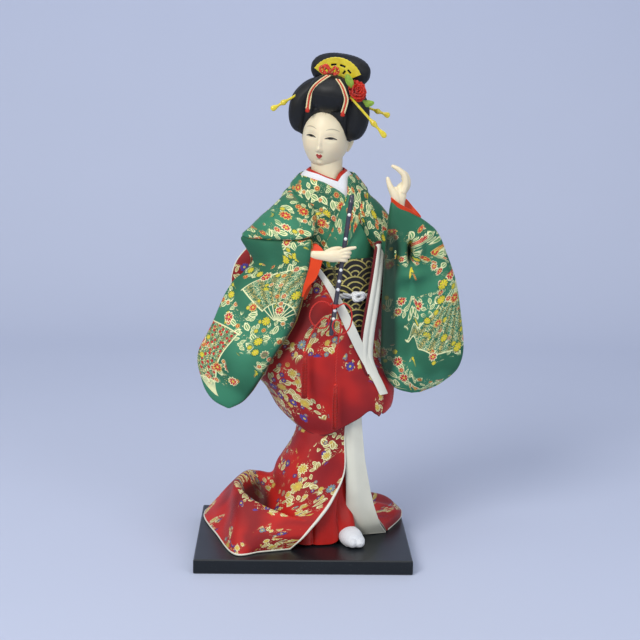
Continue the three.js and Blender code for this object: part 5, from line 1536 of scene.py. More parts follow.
def make_right_sleeve():
    """The right sleeve: its bag hangs under the forearm, open along a slit beside the body."""
    left = [(-50, -15, 275), (-56.5, -14, 272), (-51.5, -14, 263), (-45.5, -15, 253), (-53, -14, 243),
            (-65, -12, 231), (-79.8, -14, 200.7), (-93.4, -18, 170.9), (-89.9, -20, 148), (-81, -24, 130.9),
            (-67.5, -28, 123.4)]
    right = [(2, -38, 275), (3, -45.4, 272), (2.7, -46, 263), (2, -46, 253), (0.4, -45.4, 243),
             (-2.2, -44.5, 231), (-12.5, -42.5, 200.7), (-28, -39, 170.9), (-43, -34, 148),
             (-54, -29.8, 130.9), (-66, -28.2, 123.6)]
    deep = [3, 11, 14, 15.5, 15.6, 15, 14, 13, 11, 7.5, 1.6]
    grid = bag_grid(left, right, deep, 12, 150, 0.55, gap_share=0.012)
    low = ramp(grid[..., 2], 262, 230)
    sag = (cloud(grid, 30, 41) * 1.4 + np.sin(grid[..., 0] / 9.0 + grid[..., 2] / 23.0) * 0.9) * low
    grid = pushed(grid, -sag * ramp(grid[..., 2], 124, 145))
    fans = [(-26, 203, 91, 18, 50, 62, False), (-46, 161, 62, 20, 48, 66, False),
            (-74, 132, 97, 16, 66, 26, True)]
    x, _, z = np.moveaxis(grid, -1, 0)
    strip = -ramp(z, 250, 258) * ramp(x, -14, -24)
    tip = -ramp(z, 152, 138) * 0.8
    # Painted shade along the crevice at the bag's front right edge, below the wrist
    crevice_shade = 0.8 * ramp(np.linspace(0, 1, grid.shape[1])[None, :], 0.07, 0.0) * ramp(z, 262, 240)
    piece, _ = make_bag("sleeve_bag_right", "sleeve_right", grid[:, ::-1], fans, 3.0, False,
                        {"motifs": (strip + tip)[:, ::-1], "painted_shade": crevice_shade[:, ::-1]})
    edge_left = grid[62:90, grid.shape[1] // 2]
    red_edge = piping("sleeve_right_red_edge", edge_left + (-0.5, 0.6, 0), 0.75, finish["red_collar"])
    rim = piping("sleeve_right_rim", grid[30:, 0], 0.7, finish["dark_lining"])
    make_right_lobe()


LOBE_POINTS = 64


def lobe_ring(top, bottom, front, back):
    """A ring through a top and a bottom point, bulging to the front and to the back of their line."""
    top, bottom = np.array(top, float), np.array(bottom, float)
    line = bottom - top
    out = unit(np.cross(unit(line), (1.0, 0.0, 0.0)))
    if out[1] > 0:
        out = -out
    t = np.linspace(0, 1, LOBE_POINTS // 2, endpoint=False)[:, None]
    hill = np.sin(np.pi * t) ** 0.75
    return np.concatenate([top + line * t + out * hill * front, bottom - line * t - out * hill * back])


def swayed(rings, sway):
    """Rings pushed out from their own middles, each then closed with its first point."""
    middle = rings.mean(1, keepdims=True)
    rings = rings + unit(rings - middle) * sway[..., None]
    return np.concatenate([rings, rings[:, :1]], 1)


def make_right_lobe():
    """The upper part of the right sleeve, from the shoulder over the forearm to the elbow's point."""
    stations = [
        ((8, 1, 314), (8, -22, 288), 1.0, 16), ((-1, 0, 317.4), (4, -42, 279), 2.0, 17),
        ((-10.3, -1, 316.4), (-4, -45.6, 276.4), 4.5, 17), ((-19.5, -4, 308.8), (-19, -43.5, 275.4), 6.5, 15),
        ((-30, -7, 299.6), (-30.5, -38.5, 274.6), 6, 12), ((-40, -10, 290.8), (-41, -33, 274.2), 4.4, 8.5),
        ((-49.5, -13, 281.8), (-50, -25, 273.9), 2.4, 4.5),
        ((-56, -15, 275.6), (-56, -16.4, 274.2), 0.3, 0.5),
    ]
    rings = smooth_rows([lobe_ring(*station) for station in stations], 9)
    sway = cloud(rings, 15, 51) * 0.8 + np.sin(rings[..., 2] / 4.6 + rings[..., 0] / 8.5) * 0.55
    shares = np.linspace(0, 1, len(rings))[:, None]
    rings = swayed(rings, sway * ramp(shares, 0.1, 0.3) * ramp(shares, 1.0, 0.8))
    uv = grid_uv(rings)[..., ::-1]
    pivot = print_spot(rings, uv, -22, 268)
    fans = [(float(pivot[0]), float(pivot[1]), 128, 14, 34, 50, False)]
    paint = brocade("shoulder brocade", fans=fans, seed=9.0, cover=0.62, second_share=0.1, **PRINTS["green"])
    piece = cloth("sleeve_upper_right", rings, LAPEL_THICK, paint, finish["cuff"], paint, ring=True, uv=uv)


def make_left_sleeve():
    """The left sleeve: its bag hangs from the raised wrist, with the dark crease of the elbow."""
    left = [(71.6, -29.6, 307), (70.6, -29.5, 300), (69.4, -28, 286), (68, -26, 264), (67, -24.5, 228),
            (66.5, -23, 192), (68, -20, 160), (79, -15, 141.5), (95, -15, 136)]
    right = [(76, -28.5, 305), (88, -25.5, 298), (110, -20.5, 282), (120.5, -17, 262), (131, -14, 228),
             (139.2, -12, 186), (135.4, -15, 161), (121, -15, 145.8), (103, -15, 137)]
    deep = [5, 11, 17, 20.5, 20, 18, 16, 10, 1.8]
    grid = bag_grid(left, right, deep, 14, 170, 0.6)
    grid[:, -1] = grid[:, 0]
    low = ramp(grid[..., 2], 290, 240)
    sag = (cloud(grid, 32, 61) * 1.6 + np.sin(grid[..., 0] / 8.0 - grid[..., 2] / 30.0) * 0.9) * low
    spots = [(88.5, 264, 4.6, 15, -12), (95.6, 268, 7.5, 14, 4.4), (93, 243, 15, 7, 4.4),
             (75, 258, 7, 26, -5), (104, 280, 9, 6, 1.8), (83, 232, 9, 10, -2.6), (118, 236, 12, 9, 2.0),
             (112, 222, 16, 6, -2.0)]
    shape = hills(grid, spots)
    # Painted shade: hills that darken the deep crease at the elbow and the strip along the bag's left edge
    # beside the robe, where shadow falls
    dark = hills(grid, [(88.5, 262, 4.6, 15, 1.4), (73, 262, 11, 30, 1.4), (70, 215, 13, 95, 1.6),
                        (73, 172, 11, 42, 0.9)])
    grid = pushed(grid, -(sag * ramp(grid[..., 2], 138, 160)) - shape, ring=True)
    fans = [(133, 243, -99, 20, 62, 42, False)]
    x, _, z = np.moveaxis(grid, -1, 0)
    motifs = bump01((z - 143) / 9) * 0.5 - bump01(np.hypot((x - 92) / 20, (z - 232) / 14))
    motifs = motifs - ramp(z, 278, 288) * 0.7
    piece, paint = make_bag("sleeve_bag_left", "sleeve_left", grid[:, ::-1], fans, 14.0, True,
                            {"motifs": motifs[:, ::-1], "painted_shade": np.clip(dark, 0, 0.9)[:, ::-1]})
    cuff_edge = piping("sleeve_left_cuff_edge", grid[0, 2:-2] + (0, 0, 0.2), 0.5, finish["piping"])
    make_left_upper(paint)


def make_left_upper(paint):
    """The upper part of the left sleeve, from the shoulder down to the elbow, with its turned front fold."""
    stations = [
        ((36, 3, 322), (36, -2, 282), 14, 14), ((46, 2, 314.5), (50, -6, 272), 17, 15),
        ((55, 1, 308), (60, -8, 262), 17, 14), ((64, 0, 300), (69, -9, 252), 15, 12),
        ((72, -2, 290), (76, -10, 246), 12, 10), ((80, -4, 276), (83, -9, 246), 7, 7),
    ]
    rings = smooth_rows([lobe_ring(*station) for station in stations], 9)
    sway = cloud(rings, 13, 71) * 1.0 + np.sin(rings[..., 2] / 5.5 + rings[..., 0] / 6.5) * 0.7
    shares = np.linspace(0, 1, len(rings))[:, None]
    rings = swayed(rings, sway * ramp(shares, 0.1, 0.3))[:, ::-1]
    piece = cloth("sleeve_upper_left", rings, LAPEL_THICK, paint, finish["cuff"], paint, ring=True)
    rows = [
        [(66, -19, 280), (71, -23, 282), (77, -27, 281.5)],
        [(69, -20, 270), (74, -25.5, 272), (81, -29.5, 273)],
        [(72, -21, 258), (76, -26, 260), (83.4, -30.4, 262)],
        [(73, -20, 246), (77, -24, 247), (84, -28.6, 250)],
        [(76, -18, 238), (80, -20, 238), (88, -25.5, 243)],
    ]
    fold = smooth_grid(rows, 10, 12)
    share = np.linspace(-1, 1, fold.shape[1])[None, :]
    fold = pushed(fold, 1.6 * (1 - share**2))
    strip = cloth("sleeve_fold_left", fold, LAPEL_THICK, paint, finish["cuff"], finish["band"])
    trim = piping("sleeve_fold_left_edge", fold[:, 0], 0.5, finish["band"])


def cover_elbow(name, rows):
    """The back of a sleeve, gathered round the elbow: seen from behind, its rows run from right to left."""
    grid = smooth_grid(rows, 10, 10)
    grid = pushed(grid, cloud(grid, 12, 81) * 0.9)
    piece = cloth(name, grid, LAPEL_THICK, green, finish["cuff"], green)


def make_right_cuff():
    """A band of red lining that arches over the right wrist: up its front, over the top and down its back."""
    path = smooth_rows([(-46.6, 226), (-47.4, 235), (-47.2, 242), (-46.8, 254), (-45.4, 265), (-40, 270.6),
                        (-34, 266), (-31.5, 254), (-33, 238), (-37, 222)], 8)
    low = smooth_list([-12, -9, -6, -4, -4, -5, -5, -4, -6, -10], 8)
    high = smooth_list([-3.2, 1.0, 7.4, 11.8, 13.6, 7.6, 9.4, 9.6, 6, -1], 8)
    share = np.linspace(0, 1, 12)[None, :]
    x = low[:, None] * (1 - share) + high[:, None] * share
    grid = np.stack([x, np.broadcast_to(path[:, :1], x.shape), np.broadcast_to(path[:, 1:], x.shape)], -1)
    piece = cloth("cuff_right", grid[::-1], LINING_THICK, finish["cuff"])
    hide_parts("cuff_lining_right")


def make_left_cuff():
    """Two lapped edges of red lining that stand round the left wrist."""
    rims = [
        [(70.8, -31.6, 310.4), (77, -34.6, 306), (86, -32.6, 301), (97, -27, 294), (91, -19, 301.5),
         (83, -19, 309.5), (74, -23, 310)],
        [(72, -29, 301), (78, -31, 297), (87, -28.6, 292.6), (95, -25, 288), (89, -20.5, 291),
         (81, -21.5, 296), (75, -24, 300)],
    ]
    rims = [rim + rim[:1] for rim in rims]
    grid = smooth_grid(rims, 8, 8)
    grid[:, -1] = grid[:, 0]
    piece = cloth("cuff_left", grid, LINING_THICK, finish["cuff"], ring=True)
    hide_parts("cuff_lining_left")


make_right_sleeve()
make_left_sleeve()
cover_elbow("sleeve_back_right", [
    [(2, 12, 292), (-12, 11, 292), (-28, 6, 289), (-42, -3, 285), (-52, -12, 277)],
    [(2, 10, 274), (-12, 10, 274), (-28, 6.5, 272), (-43, 0, 269), (-53, -10, 266)],
    [(2, 3, 256), (-12, 3, 256), (-28, 1, 256), (-42, -1.5, 254), (-49, -9, 254)],
    [(0, -16, 242), (-14, -13, 242), (-28, -10, 242), (-42, -8, 242), (-51, -11, 242)],
    [(-2, -34, 228), (-16, -29, 228), (-30, -23, 228), (-44, -17, 230), (-56, -13, 231)],
])
cover_elbow("sleeve_back_left", [
    [(82, -6, 278), (74, 4, 286), (64, 12, 292), (53, 14, 298)],
    [(94, -4, 256), (82, 8, 260), (70, 13, 264), (56, 14, 268)],
    [(98, -4, 238), (87, 9, 240), (74, 11, 242), (60, 9, 247)],
    [(97, -6, 222), (87, 4, 222), (75, 4, 224), (65, 0, 228)],
    [(94, -14, 208), (86, -12, 205), (77, -12, 205), (69, -15, 210)],
])
make_right_cuff()
make_left_cuff()


# Head, hair and ornaments, worked out in the head's own frame: x to the doll's left, -y forward, z up

HEAD = (Matrix.Translation(HEAD_CENTRE) @ Matrix.Rotation(math.radians(HEAD_ROLL), 4, "Y")
        @ Matrix.Rotation(math.radians(HEAD_YAW), 4, "Z") @ Matrix.Rotation(math.radians(HEAD_BOW), 4, "X"))
FACE_HALF = np.array([20.5, 24.0, 29.0])
HAIRLINE = (19.2, 24.6, -3.4)


def shaped_egg(centre, half, power=1.0):
    """Places on an egg for unit directions, boxier with a power under 1."""
    centre, half = np.array(centre, float), np.array(half, float)
    return lambda d: centre + np.sign(d) * np.abs(d) ** power * half


def face_features(points):
    """Brow, nose, lips, cheeks, chin and the hollows of the eyes, pushed forward or back from the egg."""
    x, z = points[:, 0], points[:, 2]
    front = points[:, 1] < 0
    depth = np.zeros(len(points))
    for cx, cz, wide, tall, height in (
            (0, -12.6, 4.0, 3.8, 2.7), (0, -9.5, 3.0, 7.5, 1.9), (0, -3.0, 2.8, 8.0, 0.9),
            (2.1, -13.6, 1.7, 1.6, 0.75), (-2.1, -13.6, 1.7, 1.6, 0.75), (0, -15.6, 2.2, 1.4, -0.45),
            (1.3, -17.4, 2.4, 1.5, 0.75), (-1.3, -17.4, 2.4, 1.5, 0.75), (0, -19.9, 3.0, 1.7, 1.0),
            (0, -18.6, 3.6, 0.7, -0.35), (0, -22.2, 4.0, 1.5, -0.5), (0, -25.6, 6.0, 3.8, 1.1),
            (8.7, -1.4, 7.0, 5.0, -1.5), (-8.7, -1.4, 7.0, 5.0, -1.5), (8.7, -1.8, 5.2, 2.7, 0.95),
            (-8.7, -1.8, 5.2, 2.7, 0.95), (11.5, -12, 8.5, 8.0, 0.7), (-11.5, -12, 8.5, 8.0, 0.7)):
        depth += height * bump01(np.hypot((x - cx) / wide, (z - cz) / tall))
    return points - np.outer(depth * front, (0, 1, 0))


def face_paint(p, colour, rough):
    """Half-closed eyes, soft brows, red lips and the first fine hairs, in millimetres on the face."""
    x, z, _ = p.xyz(p.print_place())
    side = abs(x)
    t = (side - 8.8) / 5.1
    bow = 1.0 - t * t
    lid = z - bow * 1.25 + 2.6
    within = p.step(bow, 0.0, 0.16)
    eye_white = p.both(p.step(lid, 0.0, -0.12), p.step(lid + bow * 1.35, 0.0, 0.12), within)
    from_pupil = p.math("SQRT", (side - 8.7) * (side - 8.7) + (lid + 0.15) * (lid + 0.15) * 3.2)
    iris = p.both(p.step(from_pupil, 2.3, 2.05), p.step(lid, 0.2, 0.0), p.step(lid + bow * 1.35, 0.0, 0.1))
    line = p.both(p.step(abs(lid), bow * 0.7 + 0.36, bow * 0.55 + 0.1), within)
    lower = p.both(p.step(abs(lid + bow * 1.35), 0.2, 0.05), within)
    crease = p.both(p.step(abs(lid - 1.55 - bow * 0.3), 0.24, 0.06), p.step(bow, 0.1, 0.4))
    brow_t = (side - 9.4) / 5.6
    brow_bow = 1.0 - brow_t * brow_t
    hairs = p.noise(p.stretched(p.print_place(), (2.6, 7, 1)), 1.0, 2.0)
    brow = p.both(p.step(abs(z - brow_bow * 1.7 - 4.4), brow_bow * 0.55 + 0.2, brow_bow * 0.2),
                  p.step(brow_bow, 0.0, 0.3))
    top = 1.15 - ((side - 1.3) / 1.45) * ((side - 1.3) / 1.45) * 1.05 - 17.75
    foot = (side / 2.9) * (side / 2.9) * 2.9 - 20.9
    lips = p.both(p.step(top - z, -0.1, 0.15), p.step(z - foot, -0.1, 0.2), p.step(side, 2.95, 2.7))
    part = p.both(p.step(abs(z + 18.65 + side * 0.08), 0.28, 0.06), p.step(side, 2.7, 2.2))
    wisps = p.both(p.step(p.most(p.step(abs(x + 0.7 + z * 0.02), 0.2, 0.06),
                                 p.step(abs(x - 0.6 - z * 0.015), 0.16, 0.05)),
                          0.2, 0.9), p.step(z, 15.6, 18.5))
    blush = p.step(p.math("SQRT", (side - 12.5) * (side - 12.5) + (z + 11) * (z + 11)), 9.0, 0.0)
    for mask, share, tint in ((blush, 0.10, rgb(226, 170, 130)), (eye_white, 0.45, rgb(206, 200, 188)),
                              (iris, 0.96, rgb(22, 16, 14)), (lower, 0.7, rgb(84, 62, 50)),
                              (crease, 0.5, rgb(150, 122, 96)), (line, 0.95, rgb(20, 15, 14))):
        colour = p.mix(mask * share, colour, tint)
    colour = p.mix(p.both(brow, p.between(hairs, 0.35, 0.9)) * 0.85, colour, rgb(92, 80, 62))
    colour = p.mix(wisps * 0.6, colour, rgb(96, 88, 74))
    colour = p.mix(lips * 0.95, colour, rgb(178, 26, 30))
    colour = p.mix(p.both(part, lips), colour, rgb(104, 8, 14))
    wet = p.most(lips, iris)
    return colour, rough * (1 - wet) + wet * 0.24


def make_face():
    """The face with its painted features, the neck and the ears."""
    points, faces, _ = ball_points(shaped_egg((0, 0, 0), FACE_HALF), 200, 150)
    slim = 1 - 0.03 * ramp(points[:, 2], -6, -29) + 0.04 * bump01((points[:, 2] + 15) / 14)
    points[:, 2] -= 2.2 * ramp(points[:, 2], -8, -28)
    points = points * np.stack([slim, 1 - 0.03 * ramp(points[:, 2], -10, -29), np.ones(len(slim))], 1)
    flat = np.stack([points[:, 0], points[:, 2]], 1) / 100
    flat[points[:, 1] > -2] += 10
    face = mesh_piece("face", "head", face_features(points), faces, ivory("ivory face", face_paint), flat,
                      space=HEAD)
    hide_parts("head")
    neck = [(16.5, 3, 321.6), (16.5, 3, 326), (16.5, 2.6, 331), (16.4, 2, 336), (16.2, 1.4, 343),
            (16, 1, 352)]
    throat = tube("neck", smooth_rows(neck, 6), smooth_list([15, 14.4, 13.9, 13.7, 14, 14.4], 6),
                  finish["skin"], "head", 48, round_ends=False)
    for side in (-1, 1):
        outline = [(side * 18.8, 3.5, -13), (side * 19.8, 4, -10), (side * 20.4, 5, -6), (side * 20.2, 6, -2)]
        ear = tube(f"ear_{'left' if side > 0 else 'right'}", smooth_rows(outline, 8),
                   np.interp(np.linspace(0, 1, 25), [0, 0.3, 0.7, 1], [1.7, 2.2, 2.9, 3.0]), finish["skin"],
                   "head", 20, flat=0.62, up=(0, 1, 0), space=HEAD)


def hair_lump(name, node, centre, half, power=1.0, shape=None, around=96, up=72):
    points, faces, _ = ball_points(shaped_egg((0, 0, 0), half, power), around, up)
    flat = np.stack([points[:, 0] / 150, np.arctan2(points[:, 2], points[:, 1]) * 0.16], 1)
    ridge = np.sin(points[:, 0] * 2.1 + cloud(points, 9, 5) * 1.6) * 0.10 + cloud(points, 5, 7) * 0.12
    points = points + unit(points) * ridge[:, None] + np.array(centre, float)
    if shape is not None:
        points = shape(points)
    piece = mesh_piece(name, "head", points, faces, finish["hair"], flat, space=HEAD)
    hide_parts(node)


def open_face(points):
    """The cap cut back behind the face, with a rounded hairline."""
    wide, tall, low = HAIRLINE
    reach = np.hypot(points[:, 0] / wide, (points[:, 2] - low) / tall)
    inside = ramp(reach, 1.02, 0.94) * (points[:, 1] < 2)
    centre = np.array([0, 4, 6.0])
    return centre + (points - centre) * (1 - 0.34 * inside)[:, None]


def make_hair():
    """The cap, forelock, back roll and bun as combed lumps, and the two side wings as swept ones."""
    hair_lump("hair_cap_mass", "hair_cap", (0, 4, 12), (25, 26.5, 30), shape=open_face, around=200, up=150)
    hair_lump("forelock", "hair_forelock", (1.6, -12, 34.6), (19.5, 17, 16.6), 0.95)
    hair_lump("back_roll", "hair_back_roll", (0, 21, 2), (17, 13, 16))
    hair_lump("bun", "hair_bun", (3.0, 9.5, 53.5), (26, 15, 14.5), 0.86)
    for side, node in ((-1, "hair_wing_right"), (1, "hair_wing_left")):
        path = smooth_rows([(side * 20.3, -2, 0.5), (side * 23.4, -2.4, 4.5), (side * 24.6, -2.4, 10),
                            (side * 24.4, -2, 18), (side * 22.6, -1.6, 26), (side * 17, -1.4, 34),
                            (side * 11, -1, 39)], 8)
        radii = smooth_list([5.2, 8.2, 10, 11, 11, 10.2, 8.6], 8)
        rings = tube_grid(path, radii, 64, 1.0, up=(0, 1, 0))
        middle = rings.mean(1, keepdims=True)
        rings = middle + (rings - middle) * (1, 1.3, 1)
        ridge = np.sin(np.arange(64) * 2 * np.pi * 13 / 64)[None, :] * 0.09
        rings = rings + unit(rings - middle) * ridge[..., None]
        first, last = ([middle[k] + reach * radii[k] * share + (rings[k] - middle[k]) * size
                        for share, size in ((0.75, 0.5), (0.45, 0.82))]
                       for k, reach in ((0, unit(path[0] - path[1])), (-1, unit(path[-1] - path[-2]))))
        rings = np.concatenate([first, rings, last[::-1]])
        piece = ringed(f"hair_wing_{'left' if side > 0 else 'right'}_mass", rings, finish["hair"], "head",
                       HEAD)
        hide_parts(node)


def comb_plate(name, cell_points, kept, thickness):
    """A flat plate of the comb from a grid of points, with only the cells that kept marks."""
    rows, columns = cell_points.shape[:2]
    normals = grid_normals(cell_points) * thickness / 2
    points = np.concatenate([(cell_points + normals).reshape(-1, 3), (cell_points - normals).reshape(-1, 3)])
    shift = rows * columns
    faces = []
    padded = np.pad(kept, 1)
    for i, j in np.argwhere(kept):
        a, b, c, d = i * columns + j, (i + 1) * columns + j, (i + 1) * columns + j + 1, i * columns + j + 1
        faces += [[a, b, c, d], [d + shift, c + shift, b + shift, a + shift]]
        for near, s, e in ((padded[i + 1, j], a, b), (padded[i + 2, j + 1], b, c),
                           (padded[i + 1, j + 2], c, d), (padded[i, j + 1], d, a)):
            if not near:
                faces.append([s, s + shift, e + shift, e])
    return mesh_piece(name, "comb", points, faces, finish["amber"],
                      np.tile(grid_uv(cell_points).reshape(-1, 2), (2, 1)), space=HEAD)


COMB_SIDE, COMB_FRONT = 4.2, -7.4


def make_comb():
    """A fan-shaped comb of clear yellow plastic with pierced slots and a scalloped rim."""
    turns = np.radians(np.linspace(-60, 60, 97))
    radii = np.linspace(8, 23.4, 19)
    r, a = np.meshgrid(radii, turns, indexing="ij")
    r = r + (r > 21) * 0.35 * np.abs(np.cos(a * 21))
    grid = np.stack([COMB_SIDE + r * np.sin(a), np.full_like(a, COMB_FRONT), 42 + r * np.cos(a)], -1)[::-1]
    kept = np.ones((18, 96), bool)
    middle_r = (radii[:-1] + radii[1:])[::-1] / 2
    middle_a = np.degrees((turns[:-1] + turns[1:]) / 2)
    for turn, share, wide, tall in ((-38, 0.74, 4.0, 1.9), (-13, 0.78, 4.8, 1.8), (13, 0.78, 4.8, 1.8),
                                    (38, 0.74, 4.0, 1.9), (-26, 0.58, 1.8, 3.0), (0, 0.58, 1.8, 3.0),
                                    (26, 0.58, 1.8, 3.0)):
        across = np.radians(middle_a - turn)[None, :] * middle_r[:, None]
        kept &= ~((np.abs(across) < wide / 2) & (np.abs(middle_r[:, None] - 22.5 * share) < tall / 2))
    fan = comb_plate("comb_fan", grid, kept, 1.4)
    bevel = fan.modifiers.new("rounded", "BEVEL")
    bevel.width = 0.28 * MM
    bevel.segments = 2
    bevel.limit_method = "ANGLE"
    apply_modifiers(fan)
    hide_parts("comb")

    rows = np.linspace(0, 1, 16)[:, None]
    lanes = np.linspace(-6.4, 6.4, 53)[None, :]
    side, front, height = np.broadcast_arrays(COMB_SIDE + lanes, COMB_FRONT, 50.5 - 15.5 * rows)
    tongue = np.stack([side, front, height], -1)
    teeth = np.ones((15, 52), bool)
    teeth[6:, 1::4] = False
    teeth[6:, 2::4] = False
    comb_teeth = comb_plate("comb_teeth", tongue, teeth, 1.0)


PINS = {
    "left": ((-12, -3, 42), (-46.4, -21.2, 14.8)),
    "right_front": ((9, -16.6, 44), (55.4, -18.5, 6.2)),
    "right_rear": ((8, 13, 30), (49.8, 16.4, 20.5)),
}


def make_pin(name, node, body, inner, tip):
    """A hairpin: a round shaft, a bead-like swelling, and a flat paddle end."""
    inner, tip = np.array(inner, float), np.array(tip, float)
    shares = [0, 0.3, 0.62, 0.66, 0.695, 0.73, 0.765, 0.8, 0.84, 0.88, 0.92, 0.96, 0.985, 1.0]
    radii = [0.7, 1.05, 1.1, 1.15, 1.8, 2.45, 2.2, 1.35, 1.15, 1.5, 2.3, 2.5, 1.9, 0.7]
    path = [inner + (tip - inner) * share for share in shares]
    fine = smooth_rows(path, 5)
    wide = smooth_list(radii, 5)
    rings = tube_grid(fine, wide, 24, 1.0, up=(0, 1, 0))
    middle = rings.mean(1, keepdims=True)
    flat = 1 - 0.5 * ramp(np.linspace(0, 1, len(fine)), 0.66, 0.8)[:, None, None]
    rings = middle + (rings - middle) * np.concatenate([np.ones_like(flat), flat, np.ones_like(flat)], -1)
    piece = ringed(name, rings, finish["amber"], body, HEAD)
    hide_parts(node)


def blade(grid, thickness):
    """A thin closed leaf or petal about a grid, as rings for closed_tube."""
    normals = grid_normals(grid) * thickness / 2
    return np.concatenate([grid - normals, (grid + normals)[:, ::-1]], axis=1)


FLOWER_CENTRE, FLOWER_AXIS = np.array([23.0, -9.0, 37.0]), unit(np.array([0.77, -0.36, 0.53]))
FLOWER_FACING = unit(np.array([0.5, -0.78, 0.38]))


def make_flower():
    """A ruffled silk rosette on a wire, with two leaves."""
    middle = FLOWER_CENTRE + (0.4, -3.6, 3.0)
    side = unit(np.cross(FLOWER_FACING, (0, 0, 1.0)))
    rise = np.cross(side, FLOWER_FACING)
    rng = np.random.default_rng(12)
    shapes = []
    u = np.linspace(-1, 1, 11)[None, :]
    v = np.linspace(0, 1, 10)[:, None]
    for count, root, length, width, tilt, lift in ((9, 1.2, 7.0, 3.6, 12, -2.0), (8, 1.0, 6.4, 3.4, 32, -1.2),
                                                   (7, 0.8, 5.4, 3.0, 50, -0.4), (5, 0.5, 4.4, 2.5, 66, 0.2),
                                                   (3, 0.2, 3.4, 1.8, 80, 0.6)):
        for k in range(count):
            turn = FULL_TURN * (k / count) + tilt * 0.13 + rng.normal(0, 0.05)
            lean = math.radians(tilt + rng.normal(0, 4))
            reach = root + v * length * math.cos(lean)
            up = lift + v * length * math.sin(lean)
            up = up + 0.35 * np.sin(u * 5.5 + k * 2) * v**2 * 1.4 + 0.9 * u**2 * v
            sideways = u * width * np.sqrt(np.clip(v * 1.15, 0, 1)) * np.sqrt(np.clip(1.12 - v**3, 0.02, 1))
            out = math.cos(turn) * side + math.sin(turn) * rise
            over = -math.sin(turn) * side + math.cos(turn) * rise
            spread = reach[..., None] * out + up[..., None] * FLOWER_FACING + sideways[..., None] * over
            grid = middle + 1.2 * spread
            shapes.append(closed_tube(blade(grid, 0.3)))
    points, faces, uv = merged(*shapes)
    flower = mesh_piece("rosette", "flower", points, faces, finish["petal"], uv, space=HEAD)
    wire = tube("rosette_wire", [FLOWER_CENTRE - FLOWER_AXIS * 4.0, FLOWER_CENTRE + (0.2, -1.8, 1.5)], 0.55,
                finish["leaf"], "flower", 10, space=HEAD)
    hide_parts("hair_flower")
    leaves = {
        "leaf_upper": ([(20.8, -16.6, 43.0), (18.6, -18, 46.4), (16.4, -18.4, 50), (14.6, -18, 53.6)], 3.2),
        "leaf_lower": ([(29, -9.6, 32), (32, -8.6, 30.6), (35.4, -7.6, 31), (39, -6.4, 32.4)], 3.0),
    }
    for name, (path, width) in leaves.items():
        path = smooth_rows(path, 7)
        ahead = unit(np.gradient(path, axis=0))
        across = unit(np.cross(ahead, (0.25, -1.0, 0.1)))
        share = np.linspace(0, 1, len(path))
        half = width * np.sin(np.pi * np.clip(share * 0.94 + 0.05, 0, 1)) ** 0.7
        lanes = np.linspace(-1, 1, 13)
        grid = (path[:, None] + across[:, None] * (half[:, None] * lanes[None, :])[..., None]
                + np.array([0, 1.0, 0]) * (np.abs(lanes)[None, :] * half[:, None] * 0.35)[..., None])
        leaf = ringed(name, blade(grid, 0.4), finish["leaf"], "flower", HEAD)
        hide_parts("flower_" + name)


BOW_SIDE = 2.2
BOW_SHIFT = (-1.0, -3.2, 3.4)
PAPER_CORDS = {
    "right": [(-0.6, -20.8, 50), (-5.4, -24.2, 45.6), (-10.4, -25.2, 39.8), (-13.6, -24.4, 32),
              (-13.8, -25.4, 20.5)],
    "left": [(8.0, -21.8, 48), (12.6, -23.6, 43.6), (15.8, -24.4, 38.4), (18.0, -23.8, 32),
             (16.8, -24.8, 21.5)],
}


def make_paper_cords():
    """Wound paper cords beside the forelock: a red strand between two cream ones, and their bow."""
    for side, route in PAPER_CORDS.items():
        path = smooth_rows(route, 12)
        path[:, 2] += 0.3
        for k, paint in enumerate(("cream_cord", "paper_cord", "cream_cord")):
            strand = tube(f"paper_cord_{side}_{k}", path + ((k - 1) * 1.35 + 0.5, -0.25 * (k == 1), 0), 0.66,
                          finish[paint], "head", 10, space=HEAD)
            if k == 1:
                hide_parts(f"paper_cord_{side}")
        end = tube(f"paper_cord_{side}_end", [path[-1] + (0.5, -0.2, 0.6), path[-1] + (0.5, -0.6, -2.2)],
                   [1.5, 1.9], finish["red_collar"], "head", 16, flat=0.5, up=(0, 1, 0), space=HEAD)
    shapes = []
    for side in (-1, 1):
        for size, lift in ((0.9, 0), (0.66, 1.4)) if side < 0 else ((0.62, 0), (0.45, 1.0)):
            reach = side * size
            loop = smooth_rows([(0, -15, 50), (5 * reach, -16.4, 53.6 + lift),
                                (9.6 * reach, -16.2, 53.4 + lift), (10.4 * reach, -16, 50.4 + lift),
                                (6 * reach, -16.4, 48.4 + lift * 0.5), (1.4 * side, -15.6, 49.2)],
                                8) + (BOW_SIDE, 0, 0)
            rings = tube_grid(loop, 1.35 * size, 12, 0.55, up=(0, 1, 0))
            shapes.append(closed_tube(rings))
    shapes.append(ball_points(shaped_egg((BOW_SIDE, -16.4, 50.2), (2.6, 1.9, 2.1)), 24, 16))
    points, faces, uv = merged(*shapes)
    points = points + BOW_SHIFT
    bow = mesh_piece("paper_bow", "head", points, faces, finish["paper_cord"], uv, space=HEAD)
    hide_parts("paper_cord_bow")
    dots = [ball_points(shaped_egg((x + BOW_SIDE, y, z), (0.7, 0.7, 0.7)), 10, 8)
            for x, y, z in ((-9.6, -17.4, 53.8), (-6, -17.8, 52.6), (-3, -17.8, 49.6), (2.4, -18, 50.4),
                            (5.6, -17.6, 53.6), (9, -17.2, 52.4), (-8, -17.4, 49.6), (0, -18.2, 51.6))]
    points, faces, uv = merged(*dots)
    points = points * (0.8, 1, 1) + BOW_SHIFT
    gilt = mesh_piece("paper_bow_gilt", "head", points, faces, finish["gilt"], uv, space=HEAD)


make_face()
make_hair()
make_comb()
for place, (inner_end, tip_end) in PINS.items():
    make_pin(f"pin_{place}_stick", f"hairpin_{place}", f"pin_{place}", inner_end, tip_end)
make_flower()
make_paper_cords()


# Hands: palm, fingers and thumb as limbs joined under one skin

HAND_VOXEL, SOCK_VOXEL = 0.32, 0.5
ACROSS = (0.0, 1.0, 0.0)


